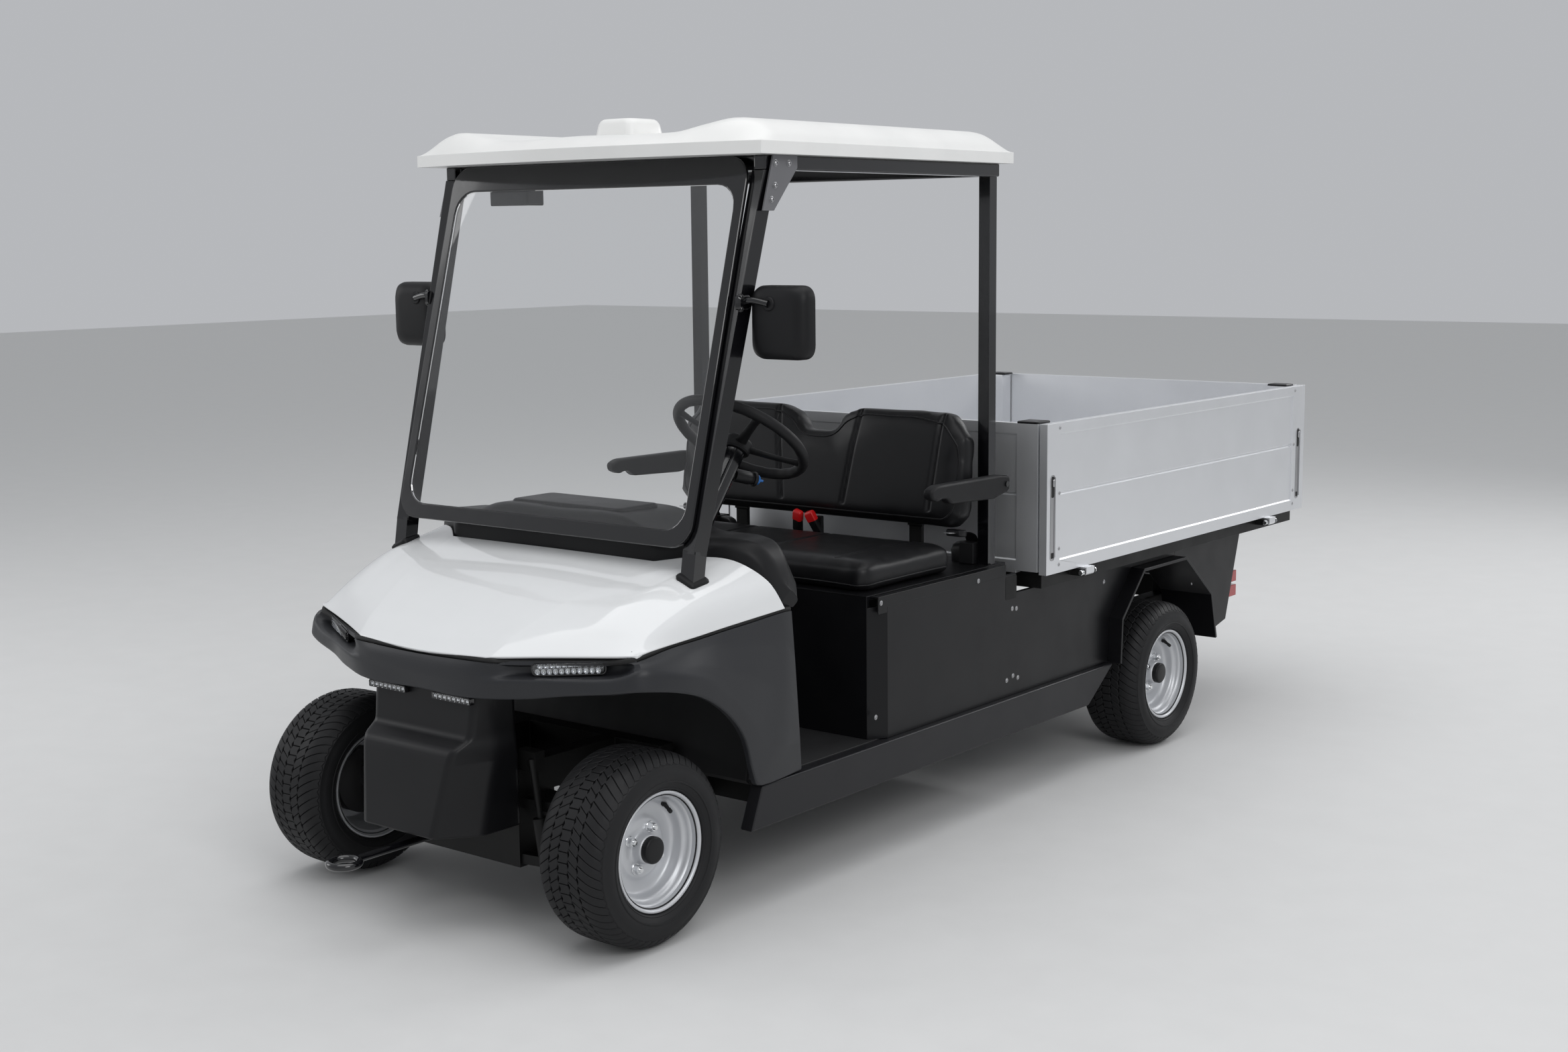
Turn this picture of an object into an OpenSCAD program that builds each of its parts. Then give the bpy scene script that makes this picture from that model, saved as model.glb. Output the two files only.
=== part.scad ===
// Electric utility cart with a roof, a raked windscreen and a drop-side cargo bed.
// The front faces -Y, +X is the cart's left and +Z is up. Lengths in the modules run back from the
// front axle, and place() moves the whole cart so that the origin is on the ground below its middle.

/* [Wheels] */
// Distance between the two axles
wheelbase = 2325; // [2260:5:2500]
// Distance between the middles of the front tyres
front_track = 968; // [950:2:980]
// Distance between the middles of the rear tyres
rear_track = 1078; // [1060:2:1090]
// Outside diameter of a tyre
tyre_d = 456; // [440:2:470]
// Section width of a tyre
tyre_w = 205; // [195:1:208]
// Rim diameter at the bead seat
rim_d = 254; // [250:1:260]
// Rim width over its flanges
rim_w = 178; // [170:1:182]
// Height of a rim flange above the bead seat
flange_h = 14; // [8:1:18]
// Thickness of the rim's steel
rim_t = 6; // [4:0.5:8]
// Depth of the wheel disc behind the outer flange
disc_inset = 66; // [55:1:75]
// Diameter of the hub boss
hub_d = 70; // [60:1:80]
// Diameter of the wheel spindles
spindle_d = 35; // [25:1:40]

/* [Steering and suspension] */
// Distance from the tyre's middle in to the kingpin
kingpin_inset = 54; // [50:1:60]
// Diameter of the kingpin
kingpin_d = 16; // [12:1:20]
// Length of the steering arm behind the kingpin
steer_arm = 65; // [55:1:68]
// Diameter of the steering rack bar
rack_d = 24; // [18:1:28]
// Outside diameter of the steering wheel's ring
wheel_d = 372; // [340:2:390]
// Thickness of the steering wheel's ring
wheel_grip = 28; // [22:1:34]
// Lean of the steering column from upright
column_tilt = 38; // [30:1:45]
// Sideways place of the steering column
column_x = 280; // [250:5:300]
// Outside diameter of the steering column
column_d = 54; // [44:1:60]
// Running clearance between a pin and its bore, on the radius
fit = 0.3; // [0.2:0.05:0.5]

/* [Body] */
// Top of the floor above the ground
floor_z = 312; // [305:1:330]
// Thickness of floor, seat box and side panels
panel_t = 12; // [8:1:16]
// Width over the side sills
sill_w = 1192; // [1180:2:1200]
// Height of the side sills
sill_h = 105; // [80:1:115]
// Width over the side panels
panel_w = 1150; // [1140:2:1160]
// Front face of the seat box behind the front axle
seat_box_y = 833; // [810:1:860]
// Top of the seat box above the ground
seat_box_z = 690; // [680:1:700]
// Thickness of the hood's shell
hood_t = 8; // [5:0.5:10]
// Thickness of the fascia's shell
fascia_t = 12; // [8:0.5:14]
// Width over the rear wheel arches
arch_w = 1240; // [1220:2:1250]
// Thickness of the rear arches
arch_t = 10; // [6:1:14]

/* [Cab] */
// Gap between the windscreen's top edge and the roof
roof_gap = 0.8; // [0.3:0.1:6]
// Width of the roof
roof_w = 1176; // [1140:2:1200]
// Thickness of the roof at its edge
roof_edge = 30; // [20:1:40]
// Width of the windscreen
screen_w = 1012; // [980:2:1020]
// Height of the windscreen along its slope
screen_h = 937; // [860:1:1010]
// Lean of the windscreen from upright
screen_rake = 15.1; // [14:0.1:16]
// Thickness of the windscreen's frame
screen_t = 12; // [8:1:16]
// Thickness of the windscreen's pane
pane_t = 6; // [4:0.5:8]
// Side of the square front struts
strut = 40; // [34:1:44]
// Side of the square rear posts and roof rails
post = 35; // [30:1:40]
// Gap between a strut and its mirror
mirror_gap = 5; // [3:0.5:20]
// Width of a mirror
mirror_w = 164; // [150:1:180]
// Height of a mirror
mirror_h = 172; // [150:1:190]

/* [Seat] */
// Width of the bench
seat_w = 1060; // [1020:2:1080]
// Depth of the seat cushion
cushion_l = 440; // [420:1:450]
// Thickness of the seat cushion
cushion_h = 70; // [60:1:80]
// Height of the seat back from its lower edge
back_h = 350; // [330:1:380]
// Thickness of the seat back
back_t = 66; // [50:1:75]
// Length of an armrest from its pivot
armrest_l = 370; // [330:1:380]
// Diameter of an armrest's pivot pin
armrest_pin_d = 16; // [12:1:20]

/* [Cargo bed] */
// Outside width of the bed
bed_w = 1270; // [1250:2:1290]
// How far the bed reaches behind the rear axle
bed_over = 977; // [950:1:1100]
// Lower edge of the bed's boards above the ground
bed_z = 648; // [645:1:660]
// Height of the bed's boards
board_h = 430; // [400:1:440]
// Thickness of the bed's boards
board_t = 25; // [20:1:30]
// Side of the bed's square posts
bed_post = 60; // [50:1:70]
// Thickness of the bed's deck
deck_t = 25; // [18:1:30]
// Gap around the boards that swing
swing_gap = 5; // [5:0.5:7]
// How far a hinge pin stands outside its board
hinge_out = 10; // [10:0.5:14]
// How far a hinge pin lies below its board
hinge_drop = 15; // [14:0.5:18]
// Diameter of a hinge pin
hinge_pin_d = 10; // [8:0.5:12]

/* [Towing] */
// Middle of the tow eye ahead of the front axle
eye_reach = 441; // [420:1:460]
// Diameter of the tow eye at the middle of its bar
eye_d = 68; // [60:1:76]
// Thickness of the tow eye's bar
eye_bar = 18; // [14:1:22]
// Bore of the hitch for its drawbar pin
hitch_bore = 20; // [16:1:26]
// Opening between the hitch's two plates
hitch_gap = 40; // [30:1:46]
// Thickness of the hitch's plates
hitch_t = 12; // [10:1:16]

/* [Hidden] */
$fn = 48;

white_paint = "white";
grey_plastic = "dimgray";
black_plastic = [0.1, 0.1, 0.11];
black_steel = [0.05, 0.05, 0.06];
aluminium = "silver";

axle_z = tyre_d / 2;
front_x = front_track / 2;
rear_x = rear_track / 2;
kingpin_x = front_x - kingpin_inset;
tyre_in_rear = rear_x - tyre_w / 2;
rim_r = rim_d / 2;
barrel_r = rim_r - rim_t;
disc_z = rim_w / 2 - disc_inset;
hub_out = 32;
hub_depth = 20;

seat_box_end = 1500;
bed_gap = 72;
bed_y = seat_box_end + bed_gap;
bed_rear = wheelbase + bed_over;
bed_x = bed_w / 2;
board_in = bed_x - board_t;
inner_x = board_in - swing_gap;
deck_z = bed_z + 7;
bed_frame_h = 50;
bed_frame_z = deck_z - bed_frame_h;
hinge_knuckle_d = hinge_pin_d + 10;
hinge_z = bed_z - hinge_drop;
hinge_x = bed_x + hinge_out;
hinge_y = bed_rear + hinge_out;
hinge_w = 46;
lug_t = 10;

cart_front = -eye_reach - eye_d / 2 - eye_bar / 2;
cart_rear = hinge_y + hinge_knuckle_d / 2;
cart_mid = (cart_front + cart_rear) / 2;

rail_w = 50;
rail_h = 80;
front_rail_x = 150;
front_rail_z = 300;
front_rail_y = -70;
mid_rail_x = 300;
mid_cross_y = 300;
rear_cross_y = 985;
rear_rail_x = 390;
rear_rail_z = 330;
rear_rail_end = bed_rear - 242;
floor_end = rear_cross_y - rail_w / 2;
sill_x = sill_w / 2;
sill_t = 36;
floor_x = sill_x - sill_t;
floor_y = 355;
toe_top = [430, 722];
dash_h = 942;
dash_lip = 70;
dash_knee = 115;
panel_x = panel_w / 2;

crossmember_h = 170;
crossmember_l = 120;
arm_h = 24;
ball_d = 34;
ball_h = arm_h + 4;
lower_ball_z = axle_z - 78;
upper_ball_z = axle_z + 58;
steer_arm_t = 12;
drum_gap = ball_d / 2 + 7;
steer_arm_z = axle_z + 8;
rod_d = 10;
rod_eye_d = 28;
rack_z = steer_arm_z + steer_arm_t / 2 + fit + steer_arm_t / 2;
rack_half = 230;
rack_tube_half = 150;

column_axis = [0, sin(column_tilt), cos(column_tilt)];
column_l = 288;
wheel_hub = [column_x, 655, 1100];
column_foot = wheel_hub - column_l * column_axis;
column_stub_d = 20;
column_stub_l = 24;
wheel_hub_d = 74;
wheel_hub_h = 40;

screen_foot = [0, 191, 891];
screen_up = [0, sin(screen_rake), cos(screen_rake)];
screen_back = [0, cos(screen_rake), -sin(screen_rake)];
screen_corner = 60;
screen_side = 28;
screen_low = 40;
screen_top = 68;
roof_z = screen_foot.z + screen_h * screen_up.z + screen_t / 2 * screen_up.y + roof_gap;
strut_set = strut / 2 + screen_t / 2 + 2 * fit;
strut_x = 500;
roof_rail_x = 530;
roof_rail_shift = roof_rail_x - strut_x;
strut_low = [strut_x, 198, 770];
strut_bend = [strut_x, 0, 0] + screen_foot + strut_set * screen_back;
strut_rise = (roof_z - post - strut_bend.z) / screen_up.z;
strut_top = strut_bend + strut_rise * screen_up + [roof_rail_shift, 0, 0];
roof_rear = 1480;
roof_front = 318;
rear_post_y = 1437;
rear_post_x = 521;
mirror_y = 390;
mirror_z = 1410;
mirror_t = 50;
clamp_gap = 1.6;

cushion_y = 850;
cushion_z = seat_box_z + fit;
back_y = 1308;
back_z = 790;
back_lean = 8;
armrest_w = 30;
armrest_seat_gap = 27;
armrest_post_gap = 18.5;
armrest_in = max(seat_w / 2 + armrest_seat_gap, rear_post_x + post / 2 + armrest_post_gap);
armrest_x = armrest_in + armrest_w / 2;
armrest_pin_y = rear_post_y;
armrest_pin_z = 922;
support_x = 320;
support_w = 50;

// Foot of the rear skirt's back edge, from the rear axle and above the ground
skirt_foot = [518, 318];
lamp_x = rear_rail_x + rail_w / 2 + 20;

hitch_y = rear_rail_end;
hitch_l = 90;
hitch_z = rear_rail_z + rail_h / 2;

arch_front = wheelbase - 284;
arch_path = [[-284, 310], [-276, 448], [-140, 583], [142, 583], [326, 440], [367, 285]];

// The hood's left half: lines from nose to cowl, from the middle out to its lower edge
hood_lines = [
    [[0, -203, 662], [0, -150, 700], [0, -90, 733], [0, 10, 781], [0, 115, 815], [0, 232, 848]],
    [[218, -190, 668], [236, -140, 704], [250, -88, 731], [282, 10, 777], [313, 113, 809],
        [352, 240, 845]],
    [[330, -135, 673], [345, -92, 712], [360, -50, 738], [385, 30, 778], [405, 130, 812],
        [430, 303, 854]],
    [[440, -85, 678], [450, -50, 712], [458, -12, 744], [470, 70, 785], [485, 165, 815],
        [510, 348, 846]],
    [[515, -55, 683], [522, -22, 706], [530, 20, 726], [545, 100, 755], [558, 200, 781],
        [575, 394, 797]],
    [[547, -40, 687], [551, 0, 690], [556, 60, 694], [568, 150, 702], [578, 245, 711],
        [590, 441, 724]]
];

// The fascia's left half: upright lines from the middle of the bumper round to the fender's rear edge
fascia_lines = [
    [[0, -203, 653], [0, -207, 645], [0, -211, 630], [0, -214, 612], [0, -207, 569]],
    [[215, -195, 656], [212, -198, 645], [207, -201, 632], [200, -205, 615], [172, -212, 570]],
    [[262, -172, 653], [285, -140, 646], [290, -142, 630], [288, -183, 622], [300, -170, 575]],
    [[390, -110, 656], [395, -80, 657], [392, -82, 634], [385, -135, 626], [400, -128, 588]],
    [[490, -62, 661], [495, -36, 661], [495, -40, 640], [500, -85, 634], [510, -92, 602]],
    [[547, -40, 672], [556, -42, 669], [563, -45, 662], [570, -50, 650], [578, -50, 608]],
    [[556, 60, 686], [575, 55, 672], [590, 50, 652], [600, 42, 632], [600, 42, 592]],
    [[568, 150, 694], [582, 145, 672], [596, 140, 640], [606, 133, 605], [605, 131, 561]],
    [[578, 229, 702], [586, 225, 670], [598, 222, 615], [606, 218, 553], [605, 215, 503]],
    [[584, 320, 708], [590, 312, 660], [600, 300, 580], [606, 285, 490], [605, 268, 435]],
    [[588, 400, 714], [593, 390, 650], [600, 375, 540], [605, 345, 420], [605, 297, 345]],
    [[590, 440, 716], [594, 440, 640], [600, 440, 520], [604, 420, 400], [603, 331, 312.6]],
    [[590, 464, 715], [592, 473, 600], [593, 482, 480], [594, 488, 390], [593, 494, 312.6]]
];

// Ends of the left head lamp's light bar
lamp_in = [318, -137, 645];
lamp_out = [470, -59, 655];

// Shared shapes

module place() {
    translate([0, -cart_mid, 0]) children();
}

module both() {
    children();
    mirror([1, 0, 0]) children();
}

// Round bar between two points
module bar(p, q, d) {
    v = q - p;
    translate(p)
        rotate([0, acos(v.z / norm(v)), atan2(v.y, v.x)])
            cylinder(h = norm(v), d = d);
}

// Square bar between two points, w wide across X and h the other way
module beam(p, q, w, h) {
    v = q - p;
    translate(p)
        rotate([0, acos(v.z / norm(v)), atan2(v.y, v.x)])
            translate([-h / 2, -w / 2, 0])
                cube([h, w, norm(v)]);
}

// Box between two corners
module block(low, high) {
    translate(low) cube(high - low);
}

// Outline in the Y-Z plane pushed along X from x0 to x1
module side_plate(x0, x1, outline) {
    translate([x0, 0, 0])
        rotate([90, 0, 90])
            linear_extrude(x1 - x0)
                polygon(outline);
}

// Corner points of a rectangle from low to high with its corners rounded to r
function round_box(low, high, r, n = 6) = [
    for (c = [[high.x - r, high.y - r, 0], [low.x + r, high.y - r, 90],
              [low.x + r, low.y + r, 180], [high.x - r, low.y + r, 270]])
        for (k = [0:n])
            [c.x + r * cos(c.z + 90 * k / n), c.y + r * sin(c.z + 90 * k / n)]
];

function spline(p, i, t) =
    let (a = p[max(i - 1, 0)], b = p[i], c = p[i + 1], d = p[min(i + 2, len(p) - 1)])
    b + t * ((c - a) / 2 + t * (a - 2.5 * b + 2 * c - d / 2 + t * (1.5 * (b - c) + (d - a) / 2)));

function smooth(p, n) = [
    for (i = [0:len(p) - 2])
        for (k = [0:(i == len(p) - 2 ? n : n - 1)])
            spline(p, i, k / n)
];

function flip_x(p) = [-p.x, p.y, p.z];

function column_of(grid, j) = [for (row = grid) row[j]];

// Mirrors lines that start in the middle, so that they run from the right side to the left
function whole(lines) = concat(
    [for (i = [len(lines) - 1:-1:1]) [for (p = lines[i]) flip_x(p)]],
    lines
);

// Smooth grid through lines: n steps between lines, m steps along each line
function surface_grid(lines, n, m) =
    let (along = [for (line = lines) smooth(line, m)],
         across = [for (j = [0:len(along[0]) - 1]) smooth(column_of(along, j), n)])
    [for (i = [0:len(across[0]) - 1]) column_of(across, i)];

function grid_normal(g, i, j) =
    let (u = g[min(i + 1, len(g) - 1)][j] - g[max(i - 1, 0)][j],
         v = g[i][min(j + 1, len(g[0]) - 1)] - g[i][max(j - 1, 0)],
         c = cross(u, v))
    c / norm(c);

function shifted(g, t) = [
    for (i = [0:len(g) - 1])
        [for (j = [0:len(g[0]) - 1]) g[i][j] - t * grid_normal(g, i, j)]
];

function flat(g) = [for (row = g) each row];

function quad(a, b, c, d) = [[a, b, c], [a, c, d]];

// Closed solid between two grids of the same size; the first is on the side its normals point to
module between(a, b) {
    m = len(a);
    n = len(a[0]);
    s = m * n;
    faces = concat(
        [for (i = [0:m - 2]) for (j = [0:n - 2])
            each quad(i * n + j, i * n + j + 1, (i + 1) * n + j + 1, (i + 1) * n + j)],
        [for (i = [0:m - 2]) for (j = [0:n - 2])
            each quad(s + i * n + j, s + (i + 1) * n + j, s + (i + 1) * n + j + 1, s + i * n + j + 1)],
        [for (i = [0:m - 2]) each quad(i * n, (i + 1) * n, s + (i + 1) * n, s + i * n)],
        [for (i = [0:m - 2])
            each quad((i + 2) * n - 1, (i + 1) * n - 1, s + (i + 1) * n - 1, s + (i + 2) * n - 1)],
        [for (j = [0:n - 2]) each quad(j + 1, j, s + j, s + j + 1)],
        [for (j = [0:n - 2])
            each quad((m - 1) * n + j, (m - 1) * n + j + 1, s + (m - 1) * n + j + 1, s + (m - 1) * n + j)]
    );
    polyhedron(points = concat(flat(a), flat(b)), faces = faces);
}

// Closed solid through sections that are stacked one way, each drawn counter-clockwise from the far end
module loft(sections) {
    n = len(sections[0]);
    m = len(sections);
    faces = concat(
        [for (i = [0:m - 2]) for (j = [0:n - 1])
            each quad(i * n + j, (i + 1) * n + j, (i + 1) * n + (j + 1) % n, i * n + (j + 1) % n)],
        [[for (j = [0:n - 1]) j]],
        [[for (j = [n - 1:-1:0]) (m - 1) * n + j]]
    );
    polyhedron(points = flat(sections), faces = faces);
}

// Running gear

module chassis_frame() {
    color(black_steel) place() {
        both() {
            translate([front_rail_x - rail_w / 2, front_rail_y, front_rail_z])
                cube([rail_w, mid_cross_y - front_rail_y, rail_h]);
            translate([mid_rail_x - rail_w / 2, mid_cross_y, floor_z - panel_t - rail_h])
                cube([rail_w, rear_cross_y - mid_cross_y, rail_h]);
            translate([rear_rail_x - rail_w / 2, rear_cross_y, rear_rail_z])
                cube([rail_w, rear_rail_end - rear_cross_y, rail_h]);
            for (y = [450, 760])
                translate([mid_rail_x, y, floor_z - panel_t - rail_h])
                    cube([floor_x - mid_rail_x, rail_w, rail_w]);
            for (y = [bed_y + 30, wheelbase - 330, wheelbase + 395, bed_rear - 330])
                translate([rear_rail_x - rail_w / 2, y, rear_rail_z])
                    cube([rail_w, rail_w, bed_frame_z - rear_rail_z]);
        }
        translate([-front_rail_x - rail_w / 2, front_rail_y, front_rail_z])
            cube([2 * front_rail_x + rail_w, rail_w, rail_h]);
        translate([-mid_rail_x - rail_w / 2, mid_cross_y - rail_w / 2, floor_z - panel_t - rail_h])
            cube([2 * mid_rail_x + rail_w, rail_w, front_rail_z + 2 * rail_h - floor_z + panel_t]);
        translate([-rear_rail_x - rail_w / 2, rear_cross_y - rail_w / 2, floor_z - panel_t - rail_h])
            cube([2 * rear_rail_x + rail_w, rail_w, rear_rail_z + 2 * rail_h - floor_z + panel_t]);
        translate([-rear_rail_x - rail_w / 2, rear_cross_y, rear_rail_z - 8])
            cube([2 * rear_rail_x + rail_w, seat_box_end - rear_cross_y - panel_t, 8]);
        for (y = [max(wheelbase - 480, bed_y + 110), rear_rail_end - rail_w])
            translate([-rear_rail_x, y, rear_rail_z])
                cube([2 * rear_rail_x, rail_w, rail_h]);
    }
}

module front_suspension() {
    rail_side = front_rail_x + rail_w / 2;
    damper_foot = [rail_side + 87, -52, lower_ball_z];
    damper_head = [rail_side + 47, -58, front_rail_z + rail_h + 22];
    color(black_steel) place() {
        difference() {
            union() {
                block([-rail_side, -crossmember_l / 2, front_rail_z - crossmember_h],
                      [rail_side, crossmember_l / 2, front_rail_z]);
                translate([-rack_tube_half, steer_arm, rack_z])
                    rotate([0, 90, 0])
                        cylinder(h = 2 * rack_tube_half, d = rack_d + 16);
            }
            rack_bore();
        }
        both() {
            wishbone(lower_ball_z, 45);
            wishbone(upper_ball_z, 40);
            translate([kingpin_x, 0, lower_ball_z])
                cylinder(h = upper_ball_z - lower_ball_z, d = kingpin_d);
            block([rail_side, -60, damper_head.z - 32], [rail_side + 62, -30, damper_head.z + 18]);
            damper(damper_foot, damper_head);
        }
    }
}

// Forked arm from the crossmember to a ball joint on the kingpin, its legs at y = spread and -spread
module wishbone(z, spread) {
    leg = arm_h / 2;
    tip = ball_d / 2 - 3;
    fork_x = kingpin_x - 2 * ball_d;
    translate([0, 0, z]) {
        linear_extrude(arm_h, center = true)
            polygon([[front_rail_x, spread + leg], [front_rail_x, spread - leg], [fork_x, 0],
                [front_rail_x, leg - spread], [front_rail_x, -spread - leg], [kingpin_x, -tip],
                [kingpin_x, tip]]);
        translate([kingpin_x, 0, 0]) cylinder(h = ball_h, d = ball_d, center = true);
    }
}

// Damper between two points: its body below, its rod above
module damper(p, q) {
    v = q - p;
    l = norm(v);
    body_r = 20;
    rod_r = 9;
    body_l = 0.45 * l;
    translate(p)
        rotate([0, acos(v.z / l), atan2(v.y, v.x)])
            rotate_extrude()
                polygon([[0, 0], [body_r, 0], [body_r, body_l], [rod_r, body_l], [rod_r, l], [0, l]]);
}

module rack_bore() {
    translate([-rack_half, steer_arm, rack_z])
        rotate([0, 90, 0])
            cylinder(h = 2 * rack_half, d = rack_d + 2 * fit);
}

module steering_rack() {
    color(aluminium) place() {
        translate([-rack_half, steer_arm, rack_z])
            rotate([0, 90, 0])
                cylinder(h = 2 * rack_half, d = rack_d);
        both() {
            bar([rack_half - 20, steer_arm, rack_z], [kingpin_x, steer_arm, rack_z], rod_d);
            translate([kingpin_x, steer_arm, rack_z])
                cylinder(h = steer_arm_t, d = rod_eye_d, center = true);
        }
    }
}

// Left steering knuckle, which turns on the kingpin and carries the wheel on its spindle
module knuckle() {
    low = lower_ball_z + ball_h / 2 + fit;
    high = upper_ball_z - ball_h / 2 - fit;
    difference() {
        union() {
            translate([kingpin_x, 0, low]) cylinder(h = high - low, d = 44);
            translate([kingpin_x, 0, axle_z])
                rotate([0, 90, 0])
                    cylinder(h = front_x + disc_z + hub_depth - kingpin_x, d = spindle_d);
            translate([kingpin_x + drum_gap, 0, axle_z])
                rotate([0, 90, 0])
                    cylinder(h = front_x + disc_z - rim_t - 10 - kingpin_x - drum_gap, d = 170);
            translate([kingpin_x - 12, 0, steer_arm_z - steer_arm_t / 2])
                cube([24, steer_arm, steer_arm_t]);
            translate([kingpin_x, steer_arm, steer_arm_z - steer_arm_t / 2])
                cylinder(h = steer_arm_t, d = rod_eye_d);
        }
        translate([kingpin_x, 0, low - 1])
            cylinder(h = high - low + 2, d = kingpin_d + 2 * fit);
    }
}

module knuckle_left() {
    color(black_steel) place() knuckle();
}

module knuckle_right() {
    color(black_steel) place() mirror([1, 0, 0]) knuckle();
}

module rear_axle() {
    drum_in = rear_x - 60;
    color(black_steel) place() translate([0, wheelbase, axle_z]) {
        rotate([0, 90, 0]) cylinder(h = 2 * drum_in, d = 76, center = true);
        translate([70, 0, 0]) rotate([0, 90, 0]) cylinder(h = 120, d = 200, center = true);
        translate([-90, 150, 16]) rotate([0, 90, 0]) cylinder(h = 250, d = 170, center = true);
        translate([40, 0, -60]) cube([60, 190, 130]);
        both() {
            translate([drum_in, 0, 0])
                rotate([0, 90, 0])
                    cylinder(h = 60 + disc_z - rim_t - 10, d = 200);
            translate([drum_in, 0, 0])
                rotate([0, 90, 0])
                    cylinder(h = 60 + disc_z + hub_depth, d = spindle_d);
            translate([rear_rail_x - rail_w / 2, -40, 20]) cube([rail_w, 80, 26]);
        }
    }
}

module leaf_springs() {
    half = 420;
    seat = axle_z + 46;
    rise = rear_rail_z - 15 - seat - 8;
    leaf = 16;
    upper = [for (k = [-10:10]) [wheelbase + half * k / 10, seat + leaf + rise * k * k / 100]];
    lower = [for (k = [10:-1:-10]) [wheelbase + half * k / 10, seat + rise * k * k / 100]];
    color(black_steel) place() both() {
        side_plate(rear_rail_x - rail_w / 2, rear_rail_x + rail_w / 2, concat(upper, lower));
        for (s = [-1, 1])
            translate([rear_rail_x - rail_w / 2, wheelbase + s * half, rear_rail_z - 15])
                rotate([0, 90, 0])
                    cylinder(h = rail_w, d = 30);
    }
}

module battery_pack() {
    color(grey_plastic) place()
        block([-330, rear_cross_y + rail_w / 2 + 20, rear_rail_z],
              [330, seat_box_end - panel_t - 40, seat_box_z - panel_t - 40]);
}

// Tyre about the Z axis with its outer face up
module tyre() {
    r = tyre_d / 2;
    w = tyre_w / 2;
    bead = rim_w / 2 - rim_t - fit;
    half = [
        [rim_r + fit, bead], [rim_r + flange_h + 2, bead], [rim_r + flange_h + 9, w - 9],
        [rim_r + 0.52 * (r - rim_r), w], [rim_r + 0.76 * (r - rim_r), w - 2], [r - 8, w - 11],
        [r - 2, w - 22], [r, w - 36]
    ];
    cavity = [
        [r - 14, w - 44], [r - 22, w - 20], [rim_r + 0.6 * (r - rim_r), w - 14],
        [rim_r + flange_h + 6, bead - 14], [rim_r + fit, bead - 16]
    ];
    outer = concat(half, [for (k = [len(half) - 1:-1:0]) [half[k].x, -half[k].y]]);
    inner = concat([for (k = [len(cavity) - 1:-1:0]) [cavity[k].x, -cavity[k].y]], cavity);
    rotate_extrude($fn = 96) polygon(concat(outer, inner));
}

// Steel wheel about the Z axis with its outer face up
module wheel() {
    w = rim_w / 2;
    difference() {
        rotate_extrude($fn = 96) polygon([
            [0, disc_z + hub_out], [hub_d / 2 - 4, disc_z + hub_out], [hub_d / 2, disc_z + hub_out - 4],
            [hub_d / 2, disc_z + 8], [barrel_r - 48, disc_z + 8], [barrel_r - 26, disc_z],
            [barrel_r - 8, disc_z + 2], [barrel_r, disc_z + 14], [barrel_r, w - 8],
            [rim_r + flange_h - 6, w - 1], [rim_r + flange_h - 2, w], [rim_r + flange_h, w - 2],
            [rim_r + flange_h, w - rim_t], [rim_r, w - rim_t], [rim_r, rim_t - w],
            [rim_r + flange_h, rim_t - w], [rim_r + flange_h, -w], [barrel_r, -w],
            [barrel_r, disc_z - rim_t], [0, disc_z - rim_t]
        ]);
        translate([0, 0, disc_z - rim_t - 1])
            cylinder(h = rim_t + 1 + hub_depth + fit, d = spindle_d + 2 * fit);
    }
}

module at_left(x, y) {
    place() translate([x, y, axle_z]) rotate([0, 90, 0]) children();
}

module at_right(x, y) {
    place() translate([-x, y, axle_z]) rotate([0, -90, 0]) children();
}

module tyre_front_left() {
    color(black_plastic) at_left(front_x, 0) tyre();
}

module tyre_front_right() {
    color(black_plastic) at_right(front_x, 0) tyre();
}

module tyre_rear_left() {
    color(black_plastic) at_left(rear_x, wheelbase) tyre();
}

module tyre_rear_right() {
    color(black_plastic) at_right(rear_x, wheelbase) tyre();
}

module wheel_front_left() {
    color(aluminium) at_left(front_x, 0) wheel();
}

module wheel_front_right() {
    color(aluminium) at_right(front_x, 0) wheel();
}

module wheel_rear_left() {
    color(aluminium) at_left(rear_x, wheelbase) wheel();
}

module wheel_rear_right() {
    color(aluminium) at_right(rear_x, wheelbase) wheel();
}

// Body

module floor_pan() {
    color(black_plastic) place() {
        block([-floor_x, floor_y, floor_z - panel_t], [floor_x, floor_end, floor_z]);
        side_plate(-540, 540, [[floor_y, floor_z], [toe_top.x, toe_top.y],
            [toe_top.x - panel_t, toe_top.y], [floor_y - panel_t, floor_z], [floor_y, floor_z - panel_t]]);
    }
}

module side_sills() {
    top = floor_z - 2;
    color(grey_plastic) place() both()
        side_plate(floor_x, sill_x, [[floor_y - 17, top], [floor_y - 60, top - sill_h],
            [arch_front - 150, top - sill_h], [arch_front, top]]);
}

module hood() {
    color(white_paint) place() difference() {
        between(hood_grid(), shifted(hood_grid(), hood_t));
        both() strut_foot(strut + 2 * fit);
    }
}

function hood_grid() = surface_grid(whole(hood_lines), 3, 3);

module front_fascia() {
    rows = whole(fascia_lines);
    grid = [for (i = [0:3 * (len(rows) - 1)])
        [for (j = [0:len(rows[0]) - 1]) smooth(column_of(rows, j), 3)[i]]];
    color(grey_plastic) place() difference() {
        between(shifted(grid, -fascia_t), grid);
        both() beam(lamp_in, lamp_out, 26 + 2 * fit, 30 + 2 * fit);
    }
}

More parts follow.
